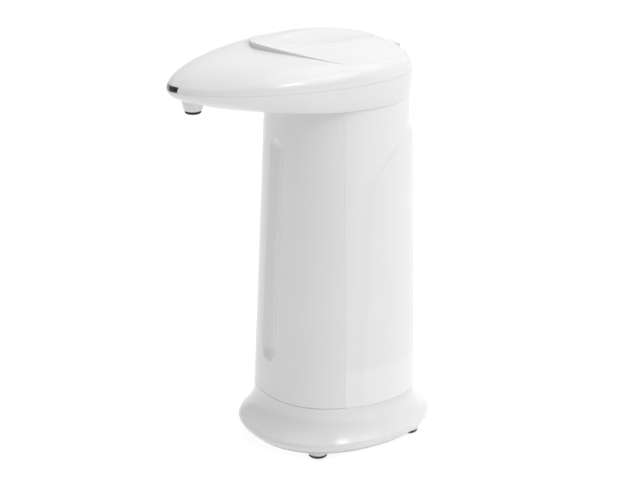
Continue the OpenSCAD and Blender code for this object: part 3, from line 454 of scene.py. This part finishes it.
def grained(name, dark, light, roughness, scale, strength=0.25, distance=0.0001, **constants):
    """A matt moulding or rubber with a fine grain."""
    material, tree, shader, at = new_material(name, **constants)
    grain = use(tree, GRAIN, at, Scale=scale, Dark=(*dark, 1), Light=(*light, 1))
    link(tree, grain["Color"], shader.inputs["Base Color"])
    marks = use(tree, HANDLING, at, Clean=roughness, Rubbed=min(1.0, roughness + 0.15))
    link(tree, marks["Roughness"], shader.inputs["Roughness"])
    bump(tree, shader, grain["Height"], strength, distance)
    return material


# %% White shells
FINISHES["shell_white"] = polished_white("polished white ABS", (0.765, 0.765, 0.765), (0.745, 0.745, 0.75),
                                         0.12, 0.2, Specular_IOR_Level=0.5)[0]
FINISHES["inner_white"] = grained("satin white ABS", (0.66, 0.67, 0.68), (0.72, 0.73, 0.73),
                                  0.42, 1400.0, 0.12)


def milky_tank():
    """Milky plastic, a touch warmer, and lighter below the tank's floor, where no soap stands behind it."""
    soap_from, soap_full = 0.0405, 0.0435
    material, tree, shader, at = polished_white("milky tank plastic", (0.78, 0.78, 0.777),
                                                (0.765, 0.765, 0.765), 0.16, 0.26, Specular_IOR_Level=0.5)
    place = tree.nodes.new("ShaderNodeSeparateXYZ")
    link(tree, at, place.inputs[0])
    wobble = arith(tree, "MULTIPLY", noise(tree, at, 40.0), 0.002)
    height = arith(tree, "ADD", place.outputs["Z"], wobble)
    below = between(tree, height, soap_from, soap_full, 1.0, 0.0)
    drift = shader.inputs["Base Color"].links[0].from_socket
    link(tree, tint(tree, below, drift, (0.81, 0.81, 0.807)), shader.inputs["Base Color"])
    return material


FINISHES["tank_white"] = milky_tank()

# %% [markdown]
# ## The other finishes
# The parts that show little of themselves still get what the real ones have: the feet and the seal are
# grained rubber, the window is a smoked lens, the cells have a printed sleeve with a band, the gears are
# waxy acetal, the metal is brushed, and the hose is clear silicone.

# %% Dark, rubber and plastic finishes
FINISHES["window_black"] = polished_white("smoked window lens", (0.004, 0.003, 0.006), (0.007, 0.005, 0.009),
                                          0.06, 0.16, Specular_IOR_Level=0.55, Coat_Weight=0.6,
                                          Coat_Roughness=0.04)[0]
GRAINED = {
    # slot: (name, dark, light, roughness, grain scale, grain strength, constants)
    "nozzle_black": ("black nozzle tip", (0.012, 0.012, 0.013), (0.022, 0.022, 0.024), 0.38, 1800.0, 0.15,
                     {}),
    "rubber_foot": ("grey foot rubber", (0.035, 0.035, 0.036), (0.06, 0.06, 0.062), 0.62, 1600.0, 0.4, {}),
    "seal_rubber": ("pale silicone seal", (0.42, 0.43, 0.44), (0.5, 0.51, 0.52), 0.45, 1300.0, 0.15, {}),
    "dark_plastic": ("dark moulded plastic", (0.02, 0.021, 0.023), (0.035, 0.036, 0.038), 0.45, 1500.0,
                     0.25, {}),
    "switch_cap": ("switch cap plastic", (0.02, 0.02, 0.02), (0.03, 0.03, 0.03), 0.35, 1500.0, 0.2, {}),
    "gear_plastic": ("waxy acetal", (0.66, 0.65, 0.60), (0.74, 0.73, 0.69), 0.34, 900.0, 0.1,
                     {"Subsurface_Weight": 0.05}),
    "pump_orange": ("orange pump rotor", (0.62, 0.16, 0.02), (0.72, 0.21, 0.03), 0.36, 1100.0, 0.12, {}),
    "pump_ivory": ("ivory pump housing", (0.60, 0.57, 0.48), (0.68, 0.65, 0.56), 0.4, 1200.0, 0.15, {}),
    "wire_red": ("red wire sleeve", (0.45, 0.02, 0.015), (0.55, 0.03, 0.02), 0.4, 2000.0, 0.1, {}),
    "hose_clear": ("clear silicone hose", (0.62, 0.64, 0.65), (0.72, 0.74, 0.75), 0.22, 600.0, 0.08,
                   {"Transmission_Weight": 0.35, "IOR": 1.41}),
    "lamp_red": ("red lamp lens", (0.5, 0.01, 0.01), (0.6, 0.02, 0.015), 0.12, 1500.0, 0.05,
                 {"Transmission_Weight": 0.4}),
    "emitter_violet": ("violet emitter lens", (0.05, 0.02, 0.09), (0.08, 0.03, 0.13), 0.12, 1500.0, 0.05,
                       {"Transmission_Weight": 0.4}),
}
for slot, (*look, constants) in GRAINED.items():
    FINISHES[slot] = grained(*look, **constants)


# %% Brushed metal, the circuit board and the cells' sleeves
def brushed_metal(name, light, dark, roughness, stretch):
    """Drawn metal: a noise stretched along one direction shades it and roughens it in fine lines."""
    material, tree, shader, at = new_material(name, Metallic=1.0)
    mapping = tree.nodes.new("ShaderNodeMapping")
    mapping.inputs["Scale"].default_value = stretch
    link(tree, at, mapping.inputs["Vector"])
    lines = noise(tree, mapping.outputs[0], 60.0, 4.0, 0.6)
    link(tree, tint(tree, lines, light, dark), shader.inputs["Base Color"])
    link(tree, between(tree, lines, 0.25, 0.75, roughness, roughness + 0.16), shader.inputs["Roughness"])
    bump(tree, shader, lines, 0.1, 0.00005)
    return material


def circuit_board():
    """Green solder mask over copper: a lighter green where the tracks lie under it."""
    material, tree, shader, at = new_material("green circuit board", Specular_IOR_Level=0.5)
    cells = tree.nodes.new("ShaderNodeTexVoronoi")
    cells.distance = "MANHATTAN"
    cells.feature = "DISTANCE_TO_EDGE"
    cells.inputs["Scale"].default_value = 420.0
    link(tree, at, cells.inputs["Vector"])
    tracks = between(tree, cells.outputs["Distance"], 0.05, 0.12, 1.0, 0.0)
    link(tree, tint(tree, tracks, (0.005, 0.07, 0.025), (0.02, 0.16, 0.06)), shader.inputs["Base Color"])
    marks = use(tree, HANDLING, at, Clean=0.28, Rubbed=0.42)
    link(tree, marks["Roughness"], shader.inputs["Roughness"])
    bump(tree, shader, tracks, 0.2, 0.0001)
    return material


def cell_wrap():
    """A shrink sleeve: black over most of the cell, and copper coloured and shiny at one end."""
    band_from, band_full = 0.0285, 0.0288
    material, tree, shader, at = new_material("cell sleeve", Coat_Weight=0.3, Coat_Roughness=0.1)
    place = tree.nodes.new("ShaderNodeSeparateXYZ")
    link(tree, at, place.inputs[0])
    wobble = arith(tree, "MULTIPLY", noise(tree, at, 200.0), 0.0002)
    along = arith(tree, "ADD", place.outputs["Y"], wobble)
    band = between(tree, along, band_from, band_full)
    link(tree, tint(tree, band, (0.015, 0.015, 0.017), (0.62, 0.30, 0.11)), shader.inputs["Base Color"])
    link(tree, between(tree, band, 0.0, 1.0, 0.0, 0.75), shader.inputs["Metallic"])
    marks = use(tree, HANDLING, at, Clean=0.22, Rubbed=0.38)
    link(tree, marks["Roughness"], shader.inputs["Roughness"])
    return material


FINISHES["bright_metal"] = brushed_metal("nickelled spring metal", (0.72, 0.71, 0.69), (0.60, 0.59, 0.57),
                                         0.22, (1, 14, 14))
FINISHES["screw_steel"] = brushed_metal("zinc plated steel", (0.62, 0.62, 0.61), (0.48, 0.48, 0.49),
                                        0.26, (1, 1, 20))
FINISHES["board_green"] = circuit_board()
FINISHES["cell_wrap"] = cell_wrap()
print("finishes:", len(FINISHES))

# %% [markdown]
# ## Finishes on the parts of the mechanism
# Each engineering part keeps its own mesh and takes the finish of its material slot, so that nothing shows
# a bare default when the lid or the battery door is open.

# %% Every part of the frame gets its finish
for part in frame["record"]["subparts"]:
    materials = frame["nodes"][part["node"]].data.materials
    materials.clear()
    materials.append(FINISHES[part["material_slot"]])

# %% [markdown]
# ## The flared base
# The foot of the dispenser is one moulding that sweeps out like the bell of a trumpet, from the column to
# a lip, and turns back in under it. It is a loop of rings: up the outside, in over the deck, and down the
# inside. A spin would only make it round, so a grid is wrapped round the squared oval instead. Its rows lie
# close together where the flare bends, because that bend carries the brightest highlight of the foot.

# %% Flared base
lip_z, lip_turn, lip_row, collar_h = 7.5, 5.0, 0.6, 3.0
rim_gap, flare_bend = 2.6, 2.0
base_wall, deck_in, deck_t, deck_clear = 2.2, 5.5, 2.0, 1.2
flare_top = base_top - collar_h


def flare(z):
    """How far the outline has swept out: 0 at the column and 1 at the lip."""
    if z < lip_z:
        return 1.0
    if z > flare_top:
        return 0.0
    return ((flare_top - z) / (flare_top - lip_z)) ** flare_bend


def turn_in(z):
    """How far the outline has turned back in under the lip."""
    return lip_turn * (1 - sqrt(1 - ((lip_z - z) / (lip_z - rim_gap)) ** 2)) if z < lip_z else 0.0


def base_place(a, row):
    z, inset = row
    half = mix(column_w, base_w, flare(z)) / 2 - turn_in(z) - inset
    length = mix(column_d, base_d, flare(z)) / 2 - turn_in(z) - inset
    return (*oval(a, half, length, length), z)


outside = steps(rim_z, (lip_z - lip_row, 7), (lip_z + lip_row, 1), (flare_top, 26), (base_top, 2))
under_deck = base_top - deck_t
inside = [z for z in reversed(outside) if z < under_deck - deck_clear]
base_rows = ([(z, 0.0) for z in outside] +
             [(base_top, base_wall + deck_in), (under_deck, base_wall + deck_in), (under_deck, base_wall)] +
             [(z, base_wall) for z in inside] + [(rim_z, 0.0)])
bm = wrap(base_place, steps(0.0, (2 * pi, 144)), base_rows)
bmesh.ops.recalc_face_normals(bm, faces=bm.faces)
finish_piece(bm, "flared_base", "housing", "shell_white", ("base_skirt",), rounding=0.3, angle=50)

# %% [markdown]
# ## The front cover
# The cover is the front half of the column. Down its middle runs a shallow flute with round ends. The
# grid's middle columns are drawn together with the flute's outline, so its rim follows a line of the mesh
# all the way round and stays clean. Its depth fades out over the rim, which gives the rim its radius.

# %% Front cover with its flute
flute_w, flute_t, flute_low, flute_len = 12.0, 2.4, 22.5, 93.0
flute_rim, rim_rows, rim_softness = 1.3, 8.0, 0.05
narrowest = 0.16


def seam_turn(h):
    """The angle at which the cover ends and the tank begins."""
    return asin((seam_front / column_reach(h)[1]) ** (SQUARE / 2))


def flute_end(h):
    """How far past the flute's straight part a height lies, as a share of the round end."""
    return max(0.0, (flute_low - h) / (flute_w / 2), (h - flute_low - flute_len) / (flute_w / 2))


def flute_depth(x, h):
    """A trough with a round floor, softly faded out over its rim."""
    d = 1 - (x / (flute_w / 2)) ** 2 - flute_end(h) ** 2
    return flute_t * (d + sqrt(d * d + rim_softness ** 2)) / 2


def front_turn(x, half):
    """The angle at which the column's front has a given x."""
    return -pi / 2 + asin(max(-1.0, min(1.0, spow(x / half, SQUARE / 2))))


def cover_place(u, h):
    """Across the flute for u from -1 to 1, and on to the seams for the rest."""
    half = column_reach(h)[0]
    narrow = max(narrowest, sqrt(max(0.0, 1 - flute_end(h) ** 2)))
    middle = flute_rim * flute_w / 2 * narrow
    if abs(u) <= 1:
        a = front_turn(u * middle, half)
    else:
        side = seam_turn(h)
        start = front_turn(spow(u, 0) * middle, half)
        a = mix(start, -side if u > 0 else side - pi, abs(u) - 1)
    x, y = column_point(a, h)
    return x, y + flute_depth(x, h), base_top + h


half_across = steps(0.0, (1.0, 24), (2.0, 20))
across = [-u for u in reversed(half_across[1:])] + half_across
cover_foot, flute_high = 0.2, flute_low + flute_len
cover_up = steps(cover_foot, (flute_low - rim_rows, 6), (flute_low, 20), (flute_high, 24),
                 (flute_high + rim_rows, 20), (cover_high.z - base_top, 6))
bm = face_out(wrap(cover_place, across, cover_up, closed=False), Vector((0, 0, head_z / 2)))
finish_piece(bm, "column_front_cover", "housing", "shell_white", ("front_cover",), wall=2.0, rounding=1.2)

# %% [markdown]
# ## The soap tank
# The rear half of the column is the tank. Its wall goes once round: the curved back, then the flat wall
# behind the cover. A raised panel covers most of it, and the panel's upper edge climbs to the rear. The
# rows lie close together there, so the soft ridge that it makes stays soft.

# %% Soap tank
tank_wall, tank_floor = 2.0, 19.5
panel_h, panel_climb, climb_from, climb_over = 104.0, 20.0, -4.0, 28.0
panel_front, panel_lean, panel_soft, ridge_soft, front_share = 8.5, 6.0, 5.0, 3.0, 0.35


def panel(y, h):
    """How far the raised panel stands out of the tank's wall."""
    edge = panel_h + panel_climb * sin(clamp((y - climb_from) / climb_over) * pi / 2)
    front = panel_lean * h / panel_h - panel_front
    rise = panel_rise * mix(front_share, 1.0, smooth((y - front) / (column_d / 2)))
    return rise * smooth((y - front) / panel_soft + 0.5) * smooth((edge - h) / ridge_soft + 0.5)


def tank_place(u, row):
    """Round the curved back for u up to 1, and along the flat wall for the rest."""
    h, inset = row
    half, front, rear = column_reach(h)
    lim = asin(((seam_front - inset) / (front - inset)) ** (SQUARE / 2))
    x, y = column_point(mix(-lim, pi + lim, min(u, 1.0)), h, inset)
    out = 1 + panel(y, h) / sqrt(x * x + y * y)
    x, y = x * out, y * out
    return mix(x, -x, max(0.0, u - 1)), y, base_top + h


tank_top = column_h - 0.02
panel_rows, top_rows = 90.0, tank_top - 3
tank_rows = ([(tank_floor - tank_wall, tank_wall), (0.0, tank_wall)] +
             [(h, 0.0) for h in steps(0.0, (panel_rows, 20), (top_rows, 56), (tank_top, 2))] +
             [(h, tank_wall) for h in steps(tank_top, (tank_floor, 12))])
bm = wrap(tank_place, steps(0.0, (1.0, 110), (2.0, 10)), tank_rows)
bmesh.ops.holes_fill(bm, edges=[e for e in bm.edges if e.is_boundary], sides=0)
bmesh.ops.recalc_face_normals(bm, faces=bm.faces)
finish_piece(bm, "milky_soap_tank", "housing", "tank_white", ("soap_tank",), rounding=0.25, angle=50)

# %% [markdown]
# ## The underside of the head
# From the column the head swells out and forward like the belly of a boat. Its rows run from the neck's
# hole over the column's top and up to the parting line. The nozzle's short boss grows out of it near the
# nose with a small fillet. The boss is spun from a profile, since it is round.

# %% Underside of the head with the nozzle boss
neck_y, neck_hole, belly = 8.0, 16.9, 1.9
parting_gap = 0.04
tip_out = 1.3
nozzle_y, nozzle_low = -71.5, extent("nozzle_insert")[0].z + tip_out


def underside_place(a, t):
    """Over the column's top for t below 0, and out and up to the parting line for the rest."""
    cx, cy = column_point(a, column_h)
    if t < 0:
        return mix(cx, neck_hole * cos(a), -t), mix(cy, neck_y + neck_hole * sin(a), -t), head_z
    out = sin(pi / 2 * t) ** (2 / belly)
    up = 1 - max(0.0, cos(pi / 2 * t)) ** (2 / belly)
    hx, hy = head_point(a)
    return mix(cx, hx, out), mix(cy, hy, out), mix(head_z, part_z - parting_gap, up)


def underside_z(y):
    """Height of the underside on its middle line."""
    low, high = 0.0, 1.0
    for _ in range(30):
        t = (low + high) / 2
        low, high = (t, high) if underside_place(-pi / 2, t)[1] > y else (low, t)
    return underside_place(-pi / 2, t)[2]


around_head = steps(-pi / 2, (1.5 * pi, 176))
bm = face_out(wrap(underside_place, around_head, steps(-1.0, (0.0, 4), (1.0, 30))),
              Vector((0, 0, part_z + 40)))
boss_bore, boss_top = 2.7, part_z - 2.2
boss = turned([(boss_bore, nozzle_low + 0.2), (3.6, nozzle_low), (3.9, nozzle_low + 0.1),
               (4.05, nozzle_low + 0.4), (4.9, nozzle_low + 3.6), (5.3, nozzle_low + 5.0), (5.6, boss_top),
               (boss_bore, boss_top)], 56, (0, nozzle_y))
finish_piece(bm, "head_underside", "housing", "shell_white", ("head_lower_shell",), wall=2.0, rounding=0.2)
finish_piece(boss, "nozzle_boss", "housing", "shell_white")
print(f"underside over the nozzle at {underside_z(nozzle_y):.1f}, boss down to {nozzle_low:.1f}")

# %% [markdown]
# ## The top of the head
# The upper shell is a ring: it starts at the parting line and ends at the lid's opening. It follows the
# dome, which is full over the column and flatter at the nose. The sensor's opening is cut with planes, so
# that its edges are straight and the wall and its rounded rim follow them.

# %% Top of the head
side_gap, gap_from, gap_over = 0.12, 16.0, 11.0


def top_place(a, t):
    """From the head's outline for t of 0 to the lid's opening for t of 1."""
    hx, hy = head_point(a)
    ox, oy = lid_point(a, mix(side_gap, lid_gap, smooth((lid_point(a)[1] - gap_from) / gap_over)))
    x, y = mix(hx, ox, t * t), mix(hy, oy, t * t)
    return x, y, part_z + parting_gap if t == 0 else dome_z(x, y)


def cut(bm, near, *planes):
    """Cuts the faces that `near` picks along planes of (point, normal)."""
    for point, normal in planes:
        faces = [f for f in bm.faces if near(f.calc_center_median())]
        geom = faces + list({e for f in faces for e in f.edges}) + list({v for f in faces for v in f.verts})
        bmesh.ops.bisect_plane(bm, geom=geom, dist=0.0001, plane_co=point, plane_no=normal)


def drop(bm, inside):
    """Deletes the faces whose middle is inside."""
    bmesh.ops.delete(bm, geom=[f for f in bm.faces if inside(f.calc_center_median())], context="FACES")


bm = face_out(wrap(top_place, around_head, steps(0.0, (1.0, 30))), Vector((0, 0, part_z - 40)))
window_high = extent("sensor_window")[1]
window_h, nose_zone = window_high.z - part_z, -68.0
hole_x, hole_top = window_high.x - 0.7, part_z + window_h + 0.1
cut(bm, lambda c: c.y < nose_zone, ((hole_x, 0, 0), (1, 0, 0)), ((-hole_x, 0, 0), (1, 0, 0)),
    ((0, 0, hole_top), (0, 0, 1)))
drop(bm, lambda c: c.y < nose_zone and abs(c.x) < hole_x and c.z < hole_top)
finish_piece(bm, "head_top", "housing", "shell_white", ("head_upper_shell",), wall=2.0, rounding=0.2)
print(f"opening for the window {2 * hole_x:.1f} wide")

# %% [markdown]
# ## The refill lid
# The lid lies in the dome's opening, flush at the back, and rises over it towards its blunt tip, where a
# finger gets under it. A shallow dish in its middle catches the light. The rings shrink to a point inside
# the dish and are merged there. One more ring hangs below the edge, so the rim is turned down and hides
# the opening under the tip. Underneath, the lid carries the plug that fits the neck, and two hinge
# knuckles. The head has three ears between them, and the lid is notched round the ears.

# %% Refill lid
lid_skirt, ring_bunching = 1.6, 1.3
barrel_r, pin_back, pin_deep = 1.5, 1.4, 0.1
hinge_y = lid_back - pin_back
hinge_z = dome_z(0, hinge_y) - barrel_r - pin_deep
ears = ((-10.4, 2.0), (-3.0, 6.0), (8.4, 2.0))
knuckles = ((-8.2, 5.0), (3.2, 5.0))
notch_gap, notch_y = 0.1, hinge_y - barrel_r - 0.45
rear_zone, hinge_zone = 20.0, 12.0


def lid_place(a, t):
    """The turned-down rim for t below 0, and in to the middle of the dish for the rest."""
    x, y = lid_point(a)
    if t < 0:
        return x, y, dome_z(x, y) - lid_skirt
    x, y = mix(x, 0, t), mix(y, -head_mid - 1, t)
    return x, y, lid_z(x, y)


def in_notch(c):
    return c.y > notch_y and any(x - notch_gap < c.x < x + w + notch_gap for x, w in ears)


lid_rings = [-1.0] + [t ** ring_bunching for t in steps(0.0, (1.0, 30))]
bm = face_out(wrap(lid_place, steps(-pi / 2, (1.5 * pi, 152)), lid_rings), Vector((0, 0, part_z - 60)))
for x, w in ears:
    cut(bm, lambda c: c.y > rear_zone, ((x - notch_gap, 0, 0), (1, 0, 0)),
        ((x + w + notch_gap, 0, 0), (1, 0, 0)))
cut(bm, lambda c: c.y > rear_zone and abs(c.x) < hinge_zone, ((0, notch_y, 0), (0, 1, 0)))
drop(bm, in_notch)
finish_piece(bm, "refill_lid", "lid", "shell_white", ("fill_lid",), wall=lid_wall, rounding=0.35)

# %% The head's ears that hold the lid's hinge
ear_r, ear_back = barrel_r + 0.4, lid_back + 0.6
ear_start = acos((barrel_r + 0.05) / ear_r)
for number, (x, w) in enumerate(ears, 1):
    bm = bmesh.new()
    arc = [(hinge_y - ear_r * sin(t), hinge_z + ear_r * cos(t)) for t in steps(ear_start, (pi, 14))]
    back = [(ear_back, hinge_z - ear_r), (ear_back, dome_z(x + w / 2, ear_back) - 0.05)]
    side = bm.faces.new([bm.verts.new((x, y, z)) for y, z in arc + back])
    grown = bmesh.ops.extrude_face_region(bm, geom=[side])["geom"]
    bmesh.ops.translate(bm, vec=(w, 0, 0), verts=[v for v in grown if isinstance(v, bmesh.types.BMVert)])
    bmesh.ops.recalc_face_normals(bm, faces=bm.faces)
    finish_piece(bm, f"hinge_ear_{number}", "housing", "shell_white", rounding=0.2)

# %% The lid's plug and knuckles
plug_r, plug_wall, plug_low = 14.0, 1.6, extent("fill_lid")[0].z
plug_in, plug_top, chamfer = plug_r - plug_wall, part_z + 6, 0.3
plug = turned([(plug_in, plug_low + chamfer), (plug_in + chamfer, plug_low), (plug_r - chamfer, plug_low),
               (plug_r, plug_low + chamfer), (plug_r, plug_top), (plug_in, plug_top)], 64, (0, neck_y))
for v in plug.verts:
    if v.co.z > plug_top - 1:
        v.co.z = lid_z(v.co.x, v.co.y) - lid_wall / 2
finish_piece(plug, "lid_plug", "lid", "shell_white")
for number, (x, w) in enumerate(knuckles, 1):
    lying = Matrix.Translation((x + w / 2, hinge_y, hinge_z)) @ Matrix.Rotation(pi / 2, 4, "Y")
    bm = bmesh.new()
    bmesh.ops.create_cone(bm, cap_ends=True, segments=32, radius1=barrel_r, radius2=barrel_r, depth=w,
                          matrix=lying)
    finish_piece(bm, f"lid_knuckle_{number}", "lid", "shell_white", rounding=0.2)

# %% [markdown]
# ## The sensor's window and the nozzle's tip
# The window is a slip of smoked plastic that follows the nose, set back a little from the white shell. The
# tip of the nozzle is a black insert, round and short, so its profile is spun.

# %% Sensor window
def nose_y(x, z, inset):
    """The y at which the dome's skin stands at a height, drawn in by an inset."""
    low, high = -nose_reach - 1, -60.0
    for _ in range(30):
        y = (low + high) / 2
        low, high = (y, high) if dome_z(x, y) < z or spread(x, y) > 1 else (low, y)
    return y + inset


window_inset = 0.3
bm = wrap(lambda x, z: (x, nose_y(x, z, window_inset), z), steps(-hole_x, (hole_x, 28)),
          steps(part_z + 0.02, (part_z + window_h, 8)), closed=False)
face_out(bm, Vector((0, 0, part_z)))
finish_piece(bm, "sensor_window_lens", "housing", "window_black", ("sensor_window",), wall=1.2, rounding=0.25)

# %% Nozzle tip and foot pads
tip_low, tip_bore, tip_r, neck_r, neck_top = nozzle_low - tip_out, 0.8, 3.6, 2.5, nozzle_low + 4.6
tip = turned([(tip_bore, tip_low + 0.35), (1.3, tip_low), (3.2, tip_low), (tip_r, tip_low + 0.4),
              (tip_r, nozzle_low), (neck_r, nozzle_low + 0.05), (neck_r, neck_top), (tip_bore, neck_top)],
             48, (0, nozzle_y))
finish_piece(tip, "nozzle_tip", "housing", "nozzle_black", ("nozzle_insert",))
hollow, pole = 0.25, 0.001
for number in range(1, 5):
    low, high = extent(f"foot_pad_{number}")
    place = ((low.x + high.x) / 2, (low.y + high.y) / 2 - AXIS_Y)
    r, top = (high.x - low.x) / 2, high.z
    pad = turned([(pole, hollow), (r - 1.2, hollow), (r - 0.9, 0.0), (r - 0.35, 0.0), (r, 0.35),
                  (r, top - 0.2), (r - 0.2, top), (pole, top)], 48, place)
    finish_piece(pad, f"rubber_foot_{number}", "housing", "rubber_foot", (f"foot_pad_{number}",))

# %% [markdown]
# ## The floor
# The dispenser stands on a plain white floor. A floor that only reflects would have to be lit so strongly
# that the white plastic would burn out, so this one is a mid grey that glows a little by itself. It reaches
# the white of the background and still throws a soft light up under the head and the flare.

# %% Floor
bm = bmesh.new()
bmesh.ops.create_grid(bm, x_segments=4, y_segments=4, size=8.0)
floor_mesh = bpy.data.meshes.new("floor")
bm.to_mesh(floor_mesh)
bm.free()
floor = bpy.data.objects.new("floor", floor_mesh)
bpy.context.scene.collection.objects.link(floor)
floor_white, tree, shader, at = new_material("plain floor", Roughness=0.7, Emission_Color=(1, 1, 1, 1),
                                             Emission_Strength=0.82)
link(tree, tint(tree, noise(tree, at, 3.0), (0.22, 0.22, 0.22), (0.2, 0.2, 0.2)), shader.inputs["Base Color"])
floor_mesh.materials.append(floor_white)

# %% [markdown]
# ## The light
# A white thing on white only shows its shape through soft differences. Most of the light comes from a wide
# panel overhead and a large one on the right, both soft, so that the curved sides shade slowly. A small
# bright panel beside the large one stands for a window and draws the highlights on the head and the flare,
# and a weak one at the front lifts the nose. The rest is the room itself: each wall's light grows with how
# squarely a direction meets that wall, so the left wall, the wall behind and the ceiling can each be given
# a strength of their own.

# %% Light panels
panel_aim = Vector((0.0, AXIS_Y * MM, 0.09))
PANELS = (
    # name, place, size, power
    ("overhead", (0.45, 0.55, 1.45), (1.4, 1.4), 7.5),
    ("right panel", (0.95, 0.22, 0.95), (0.9, 0.75), 3.0),
    ("window", (0.97, -0.02, 0.93), (0.24, 0.2), 1.15),
    ("front panel", (0.25, -0.75, 1.0), (0.9, 0.45), 1.0),
)
for name, place, size, power in PANELS:
    lamp = bpy.data.lights.new(name, "AREA")
    lamp.shape = "RECTANGLE"
    lamp.size, lamp.size_y = size
    lamp.energy = power
    holder = bpy.data.objects.new(name, lamp)
    holder.location = place
    holder.rotation_euler = (panel_aim - Vector(place)).to_track_quat("-Z", "Y").to_euler()
    bpy.context.scene.collection.objects.link(holder)
print("light panels:", ", ".join(name for name, *_ in PANELS))

# %% The white room
WALLS = (((-1, 0, 0), 0.52), ((0, 1, 0), 0.66), ((0, 0, 1), 0.66))
world = bpy.data.worlds.new("white room")
world.use_nodes = True
room = world.node_tree
facing = room.nodes.new("ShaderNodeTexCoord").outputs["Generated"]
total = 0.0
for wall, strength in WALLS:
    toward = room.nodes.new("ShaderNodeVectorMath")
    toward.operation = "DOT_PRODUCT"
    toward.inputs[1].default_value = wall
    link(room, facing, toward.inputs[0])
    share = arith(room, "MULTIPLY", arith(room, "MAXIMUM", toward.outputs["Value"], 0.0), strength)
    total = arith(room, "ADD", total, share)
link(room, total, room.nodes["Background"].inputs["Strength"])
room.nodes["Background"].inputs["Color"].default_value = (1, 1, 1, 1)
bpy.context.scene.world = world
bpy.context.scene.view_settings.view_transform = "Standard"

# %% [markdown]
# ## The camera
# The camera looks from the right of the nose and a little down, with a long lens from nearly a metre away,
# as a catalogue would show it. A long lens keeps the upright sides of the column nearly parallel.

# %% Camera
around, height, distance = radians(58.0), radians(20.332), 0.9
aim = Vector((0.0, 0.01141, 0.09328))
back = Vector((sin(around) * cos(height), -cos(around) * cos(height), sin(height)))
lens = bpy.data.cameras.new("camera")
lens.lens, lens.sensor_width = 111.15, 36.0
camera = bpy.data.objects.new("camera", lens)
camera.location = aim + back * distance
camera.rotation_euler = back.to_track_quat("Z", "Y").to_euler()
bpy.context.scene.collection.objects.link(camera)
bpy.context.scene.camera = camera
